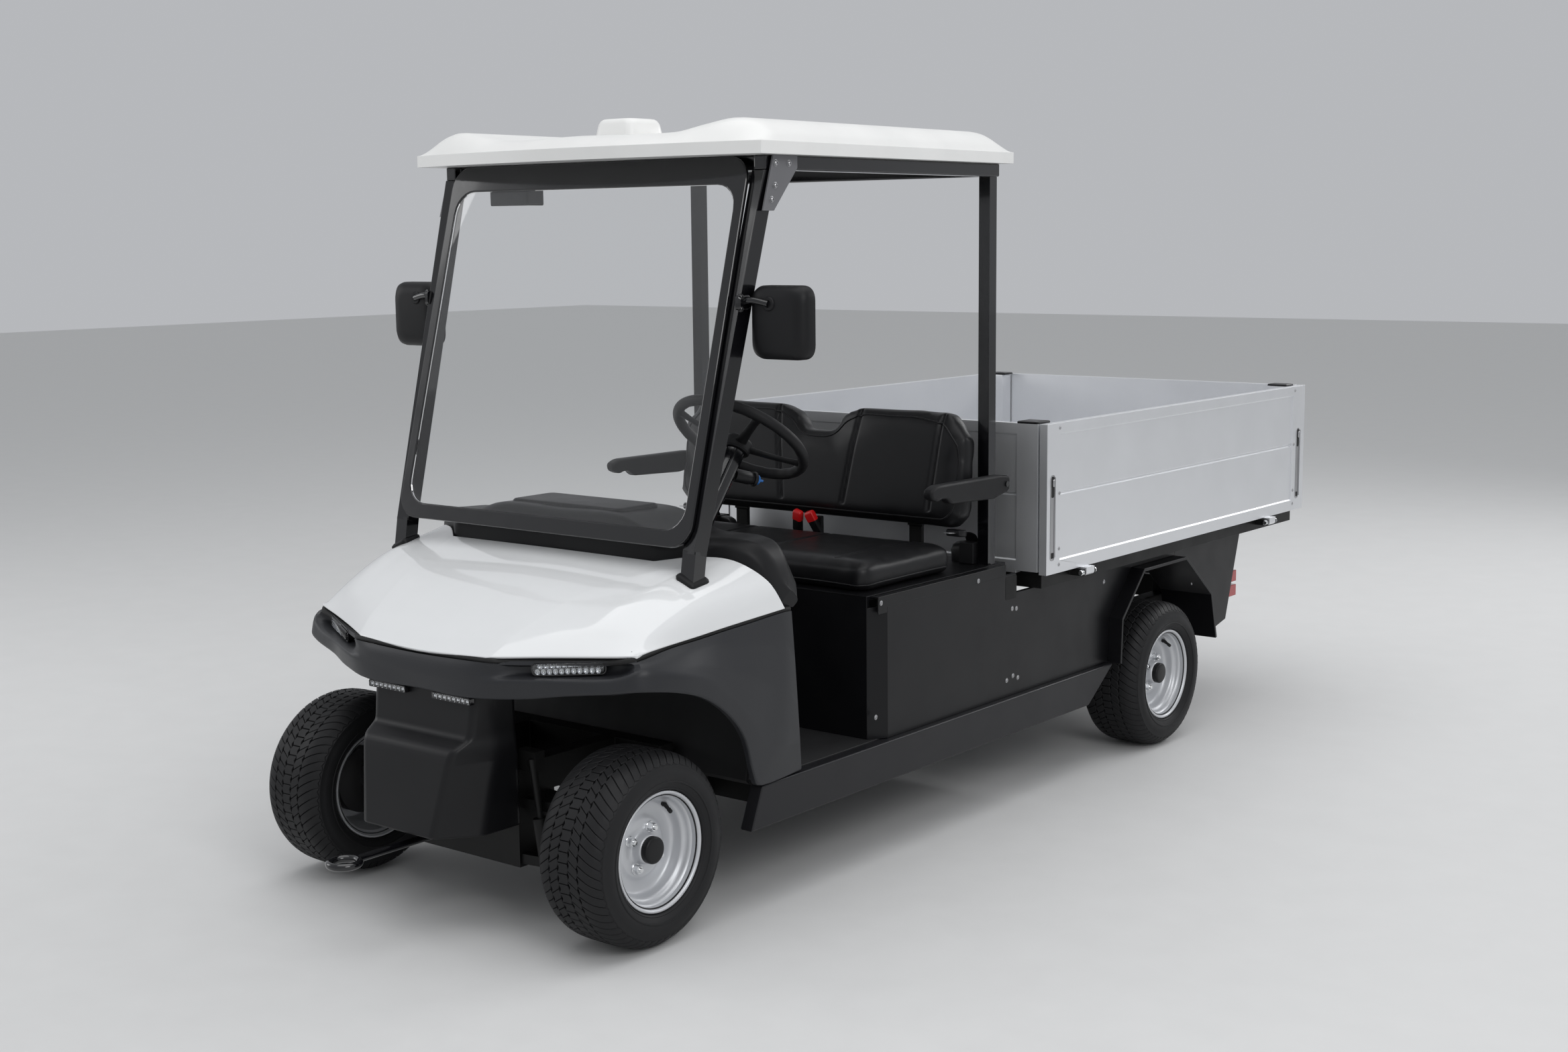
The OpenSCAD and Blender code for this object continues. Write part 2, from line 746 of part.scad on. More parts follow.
module front_apron() {
    // Each section: height, front edge, its half width, side corner, its half width
    steps = [[243, -284, 121, -194, 198], [423, -252, 152, -148, 196], [446, -244, 157, -146, 194],
             [470, -200, 168, -140, 190], [545, -190, 172, -150, 190], [610, -185, 172, -150, 188]];
    back = front_rail_y;
    color(black_plastic) place()
        loft([for (s = steps) [
            [s[4], back, s[0]], [-s[4], back, s[0]], [-s[4], s[3], s[0]], [-s[2], s[1], s[0]],
            [s[2], s[1], s[0]], [s[4], s[3], s[0]]
        ]]);
}

module tow_eye() {
    eye_z = 206;
    color(black_steel) place() {
        translate([0, -eye_reach, eye_z])
            rotate_extrude()
                translate([eye_d / 2, 0]) circle(d = eye_bar);
        bar([0, -crossmember_l / 2, eye_z], [0, eye_d / 2 - eye_reach, eye_z], eye_bar);
    }
}

module head_lamps() {
    color("whitesmoke") place() both() beam(lamp_in, lamp_out, 26, 30);
}

module running_lamps() {
    color("whitesmoke") place() both() block([46, -206, 551], [176, -190, 567.9]);
}

function dash_front(x) = lookup(x, [[0, 236], [350, 245], [430, 308], [510, 352], [575, 406], [590, 463]]);

function dash_top(x) = lookup(x, [[0, dash_h], [200, dash_h], [300, 912], [360, 897], [510, 890],
    [560, 850], [584, 764]]);

function dash_section(x) =
    let (f = dash_front(abs(x)), t = dash_top(abs(x)), set = (dash_h - t) / 4)
    [[x, f, toe_top.y + 18], [x, f + 40, toe_top.y], [x, toe_top.x + 48, toe_top.y],
     [x, max(f + 60, toe_top.x + dash_knee - set), 0.4 * t + 430],
     [x, max(f + 45, toe_top.x + dash_lip - set), t - 6], [x, f + 34, t], [x, f + 6, t - 18]];

module dash() {
    stations = [-584, -560, -510, -430, -360, -300, -200, 0, 200, 300, 360, 430, 510, 560, 584];
    color(black_plastic) place() difference() {
        loft([for (x = stations) dash_section(x)]);
        column_body();
    }
}

module column_body() {
    bar(column_foot, wheel_hub - (wheel_hub_h + fit) * column_axis, column_d);
}

module steering_column() {
    color(black_steel) place() {
        column_body();
        bar(column_foot, wheel_hub - (wheel_hub_h - column_stub_l) * column_axis, column_stub_d);
    }
}

module steering_wheel() {
    ring_r = (wheel_d - wheel_grip) / 2;
    color(black_plastic) place() translate(wheel_hub) rotate([-column_tilt, 0, 0]) {
        rotate_extrude($fn = 64) translate([ring_r, 0]) circle(d = wheel_grip);
        difference() {
            union() {
                translate([0, 0, -wheel_hub_h]) cylinder(h = wheel_hub_h, d = wheel_hub_d);
                for (a = [40, 140, 220, 320])
                    rotate([0, 0, a])
                        bar([wheel_hub_d / 2 - 6, 0, -20], [ring_r, 0, 0], 20);
            }
            translate([0, 0, -wheel_hub_h - 1])
                cylinder(h = column_stub_l + 1 + fit, d = column_stub_d + 2 * fit);
        }
    }
}

module pedals() {
    color(black_steel) place() for (x = [200, 330]) translate([x, 0, 0]) {
        bar([0, 410, 560], [0, 461, 437], 16);
        translate([-40, 478, 395]) rotate([30, 0, 0]) cube([80, 12, 90]);
        block([-18, 403.4, 545], [18, 416, 575]);
    }
}

// Cab

module on_screen() {
    place() translate(screen_foot) rotate([90 - screen_rake, 0, 0]) children();
}

function screen_hole(gap) = round_box(
    [-screen_w / 2 + screen_side + gap, screen_low + gap],
    [screen_w / 2 - screen_side - gap, screen_h - screen_top - gap],
    screen_corner - gap
);

module windscreen_frame() {
    color(black_plastic) on_screen() difference() {
        translate([0, 0, -screen_t / 2])
            linear_extrude(screen_t)
                polygon(round_box([-screen_w / 2, 0], [screen_w / 2, screen_h], screen_corner));
        translate([0, 0, -screen_t])
            linear_extrude(2 * screen_t)
                polygon(screen_hole(0));
    }
}

module windscreen_pane() {
    color("lightblue", 0.4) on_screen()
        translate([0, 0, -pane_t / 2])
            linear_extrude(pane_t)
                polygon(screen_hole(fit));
}

module strut_foot(side) {
    beam(strut_low, strut_bend, side, side);
}

module front_struts() {
    color(black_steel) place() both() difference() {
        union() {
            strut_foot(strut);
            beam(strut_bend - 8 * screen_up, strut_top + strut * screen_up, strut, strut);
        }
        block([0, 0, roof_z - post], [roof_w, roof_rear, roof_z + post]);
    }
}

module strut_gussets() {
    x = strut_side(roof_z).x + fit;
    y = strut_top.y + strut / 2;
    z = roof_z;
    color("darkgray") place() both()
        side_plate(x, x + 6, [[y - 60, z - 130], [y - 20, z - 130], [y + 70, z - 30], [y + 70, z],
            [y - 20, z]]);
}

module rear_posts() {
    color(black_steel) place() both() {
        block([rear_post_x - post / 2, rear_post_y - post / 2, seat_box_z],
              [rear_post_x + post / 2, rear_post_y + post / 2, roof_z - post]);
        translate([rear_post_x, armrest_pin_y, armrest_pin_z])
            rotate([0, 90, 0])
                cylinder(h = armrest_x + armrest_w / 2 + 4 - rear_post_x, d = armrest_pin_d);
    }
}

module roof_rails() {
    front = strut_top.y;
    color(black_steel) place() {
        both()
            block([roof_rail_x - post / 2, front - 20, roof_z - post],
                  [roof_rail_x + post / 2, rear_post_y + post / 2, roof_z]);
        for (y = [front, rear_post_y - post / 2])
            block([-roof_rail_x, y, roof_z - post], [roof_rail_x, y + post, roof_z]);
        block([-400, front, roof_z - post - 70], [-260, front + 60, roof_z - post]);
    }
}

// Height of the roof's top above its underside, across u from the middle 0 to the edge 1
function roof_height(u) = lookup(u, [[0, 62], [0.5, 60], [0.66, 76], [0.8, 88], [0.9, 78], [0.97, 52],
    [1, roof_edge]]);

function roof_point(u, v, up) =
    let (x = u * (roof_w / 2 - 12 * v * v),
         bow = 52 * u * u,
         y = roof_front + bow + (roof_rear - roof_front - bow) * v,
         end = min(1, min(v, 1 - v) / 0.07),
         h = roof_edge + (roof_height(abs(u)) - roof_edge) * sin(90 * end))
    [x, y, roof_z + (up ? h : 0)];

module roof() {
    us = [-1, -0.97, -0.9, -0.8, -0.66, -0.5, -0.25, 0, 0.25, 0.5, 0.66, 0.8, 0.9, 0.97, 1];
    vs = [0, 0.02, 0.045, 0.07, 0.2, 0.4, 0.6, 0.8, 0.93, 0.955, 0.98, 1];
    color(white_paint) place() {
        between([for (u = us) [for (v = vs) roof_point(u, v, true)]],
                [for (u = us) [for (v = vs) roof_point(u, v, false)]]);
        block([-75, 505, roof_z + 40], [75, 640, roof_z + 109]);
    }
}

// Point in the middle of the left strut's outer face at a height
function strut_side(z) =
    let (share = (z - strut_bend.z) / (strut_top.z - strut_bend.z))
    strut_bend + share * (strut_top - strut_bend) + [strut / 2, 0, 0];

module mirrors() {
    clamp = strut_side(mirror_z + 46) + [clamp_gap, 0, 0];
    x = strut_side(mirror_z + mirror_h / 2).x + mirror_gap + mirror_w / 2;
    color(black_plastic) place() both() {
        translate([x, mirror_y + mirror_t / 2, mirror_z])
            rotate([90, 0, 0])
                linear_extrude(mirror_t)
                    polygon(round_box([-mirror_w / 2, -mirror_h / 2], [mirror_w / 2, mirror_h / 2], 34));
        bar(clamp + [10, 0, 0], [x - 20, mirror_y, mirror_z + 30], 18);
        translate(clamp) rotate([0, 90, 0]) cylinder(h = 14, d = 36);
    }
}

// Seat

module seat_box() {
    corner = panel_x - 30;
    color(black_plastic) place() difference() {
        union() {
            block([-corner, seat_box_y, floor_z], [corner, seat_box_y + panel_t, seat_box_z]);
            block([-corner, seat_box_y, seat_box_z - panel_t], [corner, seat_box_end, seat_box_z]);
            block([-corner, seat_box_end - panel_t, rear_rail_z - 8], [corner, seat_box_end, seat_box_z]);
        }
        both()
            translate([rear_rail_x - rail_w / 2, seat_box_end - panel_t - 1, rear_rail_z - 9])
                cube([rail_w, panel_t + 2, rail_h + 9]);
    }
}

module seat_cushion() {
    color(black_plastic) place()
        translate([0, cushion_y, cushion_z])
            linear_extrude(cushion_h)
                polygon(round_box([-seat_w / 2, 0], [seat_w / 2, cushion_l], 40));
}

module seat_back() {
    half = seat_w / 2;
    notch = 70;
    outline = concat(
        [[-half + 40, 0], [half - 40, 0], [half, 40], [half, back_h - 90], [half - 60, back_h - 14],
         [half - 160, back_h], [150, back_h], [90, back_h - 20], [50, back_h - notch]],
        [[-50, back_h - notch], [-90, back_h - 20], [-150, back_h], [160 - half, back_h],
         [60 - half, back_h - 14], [-half, back_h - 90], [-half, 40]]
    );
    color(black_plastic) place()
        translate([0, back_y, back_z])
            rotate([90 - back_lean, 0, 0])
                translate([0, 0, -back_t])
                    linear_extrude(back_t)
                        polygon(outline);
}

module seat_supports() {
    lean = [0, sin(back_lean), cos(back_lean)];
    behind = [0, cos(back_lean), -sin(back_lean)];
    foot = [0, back_y, back_z] + (back_t + 6 + fit) * behind;
    color(black_steel) place() for (x = [-support_x, support_x]) {
        beam([x, 0, 0] + foot + 10 * lean, [x, 0, 0] + foot + 250 * lean, support_w, 12);
        block([x - support_w / 2 + 4, foot.y - 2, seat_box_z],
              [x + support_w / 2 - 4, foot.y + 12, foot.z + 22]);
    }
}

module seat_belts() {
    color(black_plastic) place() both() {
        block([rear_post_x - 71, rear_post_y - 32, seat_box_z],
              [rear_post_x - 23, rear_post_y + 38, seat_box_z + 62]);
        block([28, cushion_y + cushion_l + 4, seat_box_z],
              [48, cushion_y + cushion_l + 16, cushion_z + cushion_h + 45]);
    }
}

// Left armrest, which turns up about its rear pin
module armrest() {
    y0 = armrest_pin_y - armrest_l;
    difference() {
        side_plate(armrest_x - armrest_w / 2, armrest_x + armrest_w / 2,
            [[armrest_pin_y + 20, armrest_pin_z - 20], [armrest_pin_y + 20, armrest_pin_z + 22],
             [armrest_pin_y - 30, armrest_pin_z + 28], [y0 + 30, armrest_pin_z + 30],
             [y0, armrest_pin_z + 18], [y0 + 4, armrest_pin_z - 4], [y0 + 60, armrest_pin_z - 22],
             [armrest_pin_y - 60, armrest_pin_z - 36]]);
        translate([0, armrest_pin_y, armrest_pin_z])
            rotate([0, 90, 0])
                cylinder(h = panel_w, d = armrest_pin_d + 2 * fit);
    }
}

module armrest_left() {
    color(black_plastic) place() armrest();
}

module armrest_right() {
    color(black_plastic) place() mirror([1, 0, 0]) armrest();
}

// Side and rear body

module side_panels() {
    corner = panel_x - 30;
    top = seat_box_z - 30;
    foot = floor_z - 2;
    bend_y = seat_box_y + 50;
    color(black_plastic) place() both() {
        translate([0, 0, floor_z])
            linear_extrude(top - floor_z)
                polygon([[corner, seat_box_y], [panel_x, bend_y], [panel_x, bend_y + panel_t],
                    [panel_x - panel_t, bend_y + panel_t], [corner, seat_box_y + panel_t + 8]]);
        side_plate(panel_x - panel_t, panel_x, concat(
            [[bend_y, foot]],
            [for (k = [0:3]) arch_points()[k]],
            [[arch_points()[3].x, bed_frame_z], [seat_box_end + 10, bed_frame_z],
             [seat_box_end + 10, top], [bend_y, top]]
        ));
    }
}

function arch_points() = [for (p = arch_path) [wheelbase + p.x, p.y]];

module rear_arches() {
    outer = arch_points();
    middle = [wheelbase, axle_z];
    inner = [for (p = outer) p - arch_t * (p - middle) / norm(p - middle)];
    color(black_plastic) place() both()
        side_plate(tyre_in_rear, arch_w / 2,
            concat(outer, [for (k = [len(inner) - 1:-1:0]) inner[k]]));
}

// The skirt's rear edge, which slopes forward to its foot
function skirt_rear(z) = wheelbase + skirt_foot.x + (z - skirt_foot.y) / 3;

// Strip of the skirt's back panel from x0 to x1, between two heights
module skirt_back(x0, x1, low, high) {
    side_plate(x0, x1, [[skirt_rear(low) - panel_t, low], [skirt_rear(low), low],
        [skirt_rear(high), high], [skirt_rear(high) - panel_t, high]]);
}

module rear_skirt() {
    inside = panel_x - panel_t;
    over_rails = rear_rail_z + rail_h + 30;
    color(black_plastic) place() {
        both() {
            side_plate(inside, panel_x, concat(
                [[arch_points()[3].x, bed_frame_z]],
                [for (k = [3:5]) arch_points()[k]],
                [[wheelbase + skirt_foot.x, skirt_foot.y], [skirt_rear(bed_frame_z), bed_frame_z]]
            ));
            skirt_back(lamp_x, inside, skirt_foot.y + 10, bed_frame_z);
        }
        skirt_back(-inside, inside, over_rails, bed_frame_z);
    }
}

// Two stacked lamps a side, set flat on the skirt's sloping back
module tail_lamps() {
    rear = wheelbase + 628;
    color("firebrick") place() both() for (z = [381, 430])
        side_plate(lamp_x + 5, lamp_x + 125, [[skirt_rear(z) + fit, z], [rear, z], [rear, z + 38],
            [skirt_rear(z + 38) + fit, z + 38]]);
}

module tow_hitch() {
    z0 = hitch_z - hitch_gap / 2 - hitch_t;
    color(black_steel) place() difference() {
        union() {
            block([-60, hitch_y, z0], [60, hitch_y + hitch_t, z0 + 2 * hitch_t + hitch_gap]);
            for (z = [z0, z0 + hitch_t + hitch_gap])
                block([-45, hitch_y, z], [45, hitch_y + hitch_l, z + hitch_t]);
        }
        translate([0, hitch_y + hitch_l - 35, z0 - 1])
            cylinder(h = 2 * hitch_t + hitch_gap + 2, d = hitch_bore);
    }
}

// Cargo bed

module bed_frame() {
    front = bed_y + board_t;
    rear = bed_rear - board_t - swing_gap;
    color(black_steel) place() {
        for (x = [-inner_x, -rear_rail_x - rail_w / 2, rear_rail_x - rail_w / 2, inner_x - 30])
            block([x, front, bed_frame_z], [x + (abs(x) > 500 ? 30 : rail_w), rear, deck_z]);
        for (k = [0:4])
            translate([-inner_x, front + k * (rear - front - 40) / 4, bed_frame_z])
                cube([2 * inner_x, 40, bed_frame_h]);
        both() for (y = side_hinges())
            hinge_lugs([inner_x, y, hinge_z], [hinge_x, y, hinge_z]);
        for (x = gate_hinges())
            hinge_lugs([x, rear, hinge_z], [x, hinge_y, hinge_z]);
    }
}

function side_hinges() = [bed_y + 217, bed_rear - 281];

function gate_hinges() = [-400, 400];

// Two lugs that reach out from the frame, with the pin between them
module hinge_lugs(root, pin) {
    out = pin - root;
    turn = atan2(out.y, out.x);
    translate(root) rotate([0, 0, turn]) {
        for (s = [-1, 1])
            translate([0, s * (hinge_w / 2 + lug_t / 2 + fit) - lug_t / 2, -10])
                cube([norm(out) + 6, lug_t, 20]);
        translate([norm(out), 0, 0])
            rotate([90, 0, 0])
                cylinder(h = hinge_w + 2 * lug_t + 2 * fit, d = hinge_pin_d, center = true);
    }
}

// Knuckle of a board's hinge, bored for the pin; the board stands over it towards -X
module hinge_knuckle() {
    difference() {
        union() {
            translate([0, hinge_w / 2, 0])
                rotate([90, 0, 0])
                    cylinder(h = hinge_w, d = hinge_knuckle_d);
            translate([-hinge_out - 12, -hinge_w / 2, hinge_drop - 5.5])
                cube([hinge_out + 12 + hinge_knuckle_d / 2, hinge_w, 5.5]);
            translate([-2, -hinge_w / 2, 0])
                cube([2 + hinge_knuckle_d / 2, hinge_w, hinge_drop]);
        }
        translate([0, hinge_w, 0])
            rotate([90, 0, 0])
                cylinder(h = 2 * hinge_w, d = hinge_pin_d + 2 * fit);
    }
}

module bed_deck() {
    front = bed_y + board_t;
    rear = bed_rear - board_t - swing_gap;
    color(aluminium) place() difference() {
        block([-inner_x, front, deck_z], [inner_x, rear, deck_z + deck_t]);
        both() {
            block([inner_x - 70, front - 1, deck_z - 1], [inner_x + 1, bed_y + 68, deck_z + deck_t + 1]);
            block([inner_x - bed_post, rear - bed_post, deck_z - 1],
                  [inner_x + 1, rear + 1, deck_z + deck_t + 1]);
        }
    }
}

// Cross section of a bed board, its outer face at x = 0, with a groove where the two planks meet
function board_outline() = [
    [-board_t, 0], [0, 0], [0, 36], [-4, 40], [-4, board_h / 2 + 8], [-8, board_h / 2 + 10],
    [-8, board_h / 2 + 16], [-4, board_h / 2 + 18], [-4, board_h - 34], [0, board_h - 30],
    [0, board_h], [-board_t, board_h]
];

// Board that runs along +Y for length l, its outer face at x = 0 and its foot at z = 0
module board(l) {
    translate([0, l, 0]) rotate([90, 0, 0]) linear_extrude(l) polygon(board_outline());
}

module bed_headboard() {
    color(aluminium) place() {
        translate([-inner_x + 70, bed_y, bed_z])
            rotate([0, 0, -90])
                board(2 * inner_x - 140);
        both()
            block([inner_x - 70, bed_y, deck_z], [inner_x, bed_y + 68, bed_z + board_h]);
    }
}

module bed_rear_posts() {
    rear = bed_rear - board_t - swing_gap;
    color(aluminium) place() both()
        block([inner_x - bed_post, rear - bed_post, deck_z], [inner_x, rear, bed_z + board_h]);
}

// Left drop side: planks, two end caps with latch slots, and its hinge knuckles
module drop_side() {
    front = bed_y + 2;
    l = bed_rear - front;
    cap_front = 73;
    cap_rear = 95;
    difference() {
        union() {
            translate([bed_x, front, bed_z]) board(l);
            block([board_in, front, bed_z], [bed_x, front + cap_front, bed_z + board_h]);
            block([board_in, bed_rear - cap_rear, bed_z], [bed_x, bed_rear, bed_z + board_h]);
        }
        for (y = [front + cap_front / 2, bed_rear - 40])
            block([bed_x - 12, y - 11, bed_z + 47], [bed_x + 1, y + 11, bed_z + 277]);
    }
    for (y = [front + cap_front / 2, bed_rear - 40])
        block([bed_x - 13, y - 6, bed_z + 60], [bed_x - 2, y + 6, bed_z + 200]);
    for (y = side_hinges())
        translate([hinge_x, y, hinge_z]) hinge_knuckle();
}

module drop_side_left() {
    color(aluminium) place() drop_side();
}

module drop_side_right() {
    color(aluminium) place() mirror([1, 0, 0]) drop_side();
}

module tailgate() {
    color(aluminium) place() {
        translate([inner_x, bed_rear, bed_z]) rotate([0, 0, 90]) board(2 * inner_x);
        for (x = gate_hinges())
            translate([x, hinge_y, hinge_z]) rotate([0, 0, 90]) hinge_knuckle();
    }
}

chassis_frame();
front_suspension();
steering_rack();
knuckle_left();
knuckle_right();
rear_axle();
leaf_springs();
battery_pack();
tyre_front_left();
tyre_front_right();
tyre_rear_left();
tyre_rear_right();
wheel_front_left();
wheel_front_right();
wheel_rear_left();
wheel_rear_right();
floor_pan();
side_sills();
hood();
front_fascia();
front_apron();
tow_eye();
head_lamps();
running_lamps();
dash();
steering_column();
steering_wheel();
pedals();
windscreen_frame();
windscreen_pane();
front_struts();
strut_gussets();
rear_posts();
roof_rails();
roof();
mirrors();
seat_box();
seat_cushion();
seat_back();
seat_supports();
seat_belts();
armrest_left();
armrest_right();
side_panels();
rear_arches();
rear_skirt();
tail_lamps();
tow_hitch();
bed_frame();
bed_deck();
bed_headboard();
bed_rear_posts();
drop_side_left();
drop_side_right();
tailgate();
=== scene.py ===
"""Looks of an electric utility cart with a roof and a drop-side cargo bed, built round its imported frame."""

import logging
import math
from dataclasses import dataclass
from enum import Enum
from functools import cached_property
from typing import ClassVar, Iterable, Sequence

import bmesh
import bpy
from mathutils import Matrix, Vector
from mathutils.bvhtree import BVHTree


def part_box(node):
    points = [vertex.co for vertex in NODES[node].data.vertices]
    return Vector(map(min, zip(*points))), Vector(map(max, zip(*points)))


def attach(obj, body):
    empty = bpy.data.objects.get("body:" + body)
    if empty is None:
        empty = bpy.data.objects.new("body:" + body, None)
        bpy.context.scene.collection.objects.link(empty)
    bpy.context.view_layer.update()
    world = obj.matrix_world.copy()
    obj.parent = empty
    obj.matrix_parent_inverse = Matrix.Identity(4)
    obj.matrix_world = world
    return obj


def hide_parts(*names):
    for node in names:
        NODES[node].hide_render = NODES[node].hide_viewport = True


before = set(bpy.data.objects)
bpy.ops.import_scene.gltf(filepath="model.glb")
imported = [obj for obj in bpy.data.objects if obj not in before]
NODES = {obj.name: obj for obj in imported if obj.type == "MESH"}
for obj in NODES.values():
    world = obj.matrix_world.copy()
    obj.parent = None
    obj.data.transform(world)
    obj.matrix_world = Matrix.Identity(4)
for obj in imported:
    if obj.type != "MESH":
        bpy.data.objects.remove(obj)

LOG = logging.getLogger("utility_cart")
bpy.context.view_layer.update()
MM = 0.001
FRONT_AXLE_Y = sum(c.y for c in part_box("tyre_front_left")) / 2
CHASSIS = "chassis"
SIDES = ((1, "left"), (-1, "right"))

Point = Sequence[float]
Face = tuple[int, ...]


def spot(x: float, y: float, z: float) -> Vector:
    """Turns millimetres from the ground below the front axle into the frame's metres.

    Args:
        x: Distance to the cart's left.
        y: Distance behind the front axle.
        z: Height above the ground.

    Returns:
        The point in the frame.
    """
    return Vector((x * MM, FRONT_AXLE_Y + y * MM, z * MM))


def metres(profile: Iterable[tuple[float, float]]) -> list[tuple[float, float]]:
    """Returns a profile of radius and height in metres, from one in millimetres."""
    return [(r * MM, h * MM) for r, h in profile]


class Grain(Enum):
    """Fine relief of a surface."""

    NONE = "none"
    PEEL = "peel"
    MOULDED = "moulded"
    POWDER = "powder"
    LEATHER = "leather"
    BRUSHED = "brushed"
    RUBBER = "rubber"
    FLAKE = "flake"
    RIBBED = "ribbed"


@dataclass(frozen=True)
class Finish:
    """A surface finish, made into one node material.

    Attributes:
        name: Name of the material.
        color: Linear base colour.
        roughness: Middle roughness.
        metallic: Share of metal.
        grain: Kind of fine relief.
        grain_mm: Size of the relief's grains.
        depth_mm: Depth of the relief.
        spread: How much the roughness varies over the surface.
        mottle: How much the colour varies over the surface.
        coat: Weight of a clear coat.
        clear: Share of light that passes through.
        streak: Axis that a brushed grain runs along.
        specular: Level of the mirror-like reflection.
    """

    name: str
    color: tuple[float, float, float]
    roughness: float = 0.4
    metallic: float = 0.0
    grain: Grain = Grain.NONE
    grain_mm: float = 1.0
    depth_mm: float = 0.05
    spread: float = 0.06
    mottle: float = 0.05
    coat: float = 0.0
    clear: float = 0.0
    streak: int = 1
    specular: float = 0.5

    DRIFT = 7.0
    DRIFT_BAND = (0.3, 0.7)
    COAT_ROUGHNESS = 0.04
    GLASS_IOR = 1.45
    STREAK_LENGTH = 260
    BUMP = 0.6

    def material(self) -> bpy.types.Material:
        """Returns the finish's material, made on first use."""
        known = bpy.data.materials.get(self.name)
        return known or self._make()

    def _make(self) -> bpy.types.Material:
        """Builds the material's nodes."""
        mat = bpy.data.materials.new(self.name)
        mat.use_nodes = True
        tree = mat.node_tree
        shader = tree.nodes["Principled BSDF"]
        shader.inputs["Metallic"].default_value = self.metallic
        shader.inputs["Roughness"].default_value = self.roughness
        shader.inputs["Base Color"].default_value = (*self.color, 1.0)
        shader.inputs["Specular IOR Level"].default_value = self.specular
        if self.coat:
            shader.inputs["Coat Weight"].default_value = self.coat
            shader.inputs["Coat Roughness"].default_value = self.COAT_ROUGHNESS
        if self.clear:
            shader.inputs["Transmission Weight"].default_value = self.clear
            shader.inputs["IOR"].default_value = self.GLASS_IOR
        coords = tree.nodes.new("ShaderNodeTexCoord").outputs["Object"]
        if self.mottle or self.spread:
            self._vary(tree, shader, coords)
        if self.grain is not Grain.NONE:
            self._relief(tree, shader, coords)
        return mat

    def _vary(self, tree: bpy.types.NodeTree, shader: bpy.types.Node, coords: bpy.types.NodeSocket) -> None:
        """Lets colour and roughness drift slowly over the surface.

        Args:
            tree: The material's tree.
            shader: The surface shader.
            coords: Coordinates that ride with the piece.
        """
        drift = tree.nodes.new("ShaderNodeTexNoise")
        drift.inputs["Scale"].default_value = self.DRIFT
        drift.inputs["Detail"].default_value = 6.0
        drift.inputs["Roughness"].default_value = 0.62
        tree.links.new(coords, drift.inputs["Vector"])
        if self.spread:
            ends = (max(0.02, self.roughness - self.spread), min(1.0, self.roughness + self.spread))
            self._ramp(tree, drift.outputs["Fac"], ends, shader.inputs["Roughness"])
        if self.mottle:
            ramp = tree.nodes.new("ShaderNodeValToRGB")
            for stop, gain, at in zip(ramp.color_ramp.elements, (1 - self.mottle, 1 + self.mottle),
                                      self.DRIFT_BAND):
                stop.position = at
                stop.color = (*(min(1.0, c * gain) for c in self.color), 1.0)
            tree.links.new(drift.outputs["Fac"], ramp.inputs["Fac"])
            tree.links.new(ramp.outputs["Color"], shader.inputs["Base Color"])

    def _ramp(
        self, tree: bpy.types.NodeTree, fac: bpy.types.NodeSocket, ends: tuple[float, float],
        target: bpy.types.NodeSocket
    ) -> None:
        """Maps a noise to a range of values.

        Args:
            tree: The material's tree.
            fac: The noise.
            ends: Values at the low and the high end.
            target: Socket that takes the value.
        """
        span = tree.nodes.new("ShaderNodeMapRange")
        span.inputs["From Min"].default_value = self.DRIFT_BAND[0]
        span.inputs["From Max"].default_value = self.DRIFT_BAND[1]
        span.inputs["To Min"].default_value = ends[0]
        span.inputs["To Max"].default_value = ends[1]
        tree.links.new(fac, span.inputs["Value"])
        tree.links.new(span.outputs["Result"], target)

    def _relief(self, tree: bpy.types.NodeTree, shader: bpy.types.Node, coords: bpy.types.NodeSocket) -> None:
        """Adds the fine relief as bump.

        Args:
            tree: The material's tree.
            shader: The surface shader.
            coords: Coordinates that ride with the piece.
        """
        scale = 1000.0 / self.grain_mm
        stretch = tree.nodes.new("ShaderNodeMapping")
        tree.links.new(coords, stretch.inputs["Vector"])
        if self.grain is Grain.BRUSHED:
            sizes = [scale] * 3
            sizes[self.streak] = scale / self.STREAK_LENGTH
            stretch.inputs["Scale"].default_value = sizes
            scale = 1.0
        if self.grain in (Grain.LEATHER, Grain.MOULDED):
            cells = tree.nodes.new("ShaderNodeTexVoronoi")
            cells.feature = "DISTANCE_TO_EDGE" if self.grain is Grain.LEATHER else "F1"
            cells.inputs["Scale"].default_value = scale
            height = cells.outputs["Distance"]
            tree.links.new(stretch.outputs["Vector"], cells.inputs["Vector"])
        elif self.grain is Grain.RIBBED:
            wave = tree.nodes.new("ShaderNodeTexWave")
            wave.bands_direction = "X"
            wave.inputs["Scale"].default_value = scale / 20
            height = wave.outputs["Fac"]
            tree.links.new(stretch.outputs["Vector"], wave.inputs["Vector"])
        else:
            noise = tree.nodes.new("ShaderNodeTexNoise")
            noise.inputs["Scale"].default_value = scale
            noise.inputs["Detail"].default_value = 3.0
            height = noise.outputs["Fac"]
            tree.links.new(stretch.outputs["Vector"], noise.inputs["Vector"])
        bump = tree.nodes.new("ShaderNodeBump")
        bump.inputs["Strength"].default_value = self.BUMP
        bump.inputs["Distance"].default_value = self.depth_mm * MM
        tree.links.new(height, bump.inputs["Height"])
        tree.links.new(bump.outputs["Normal"], shader.inputs["Normal"])


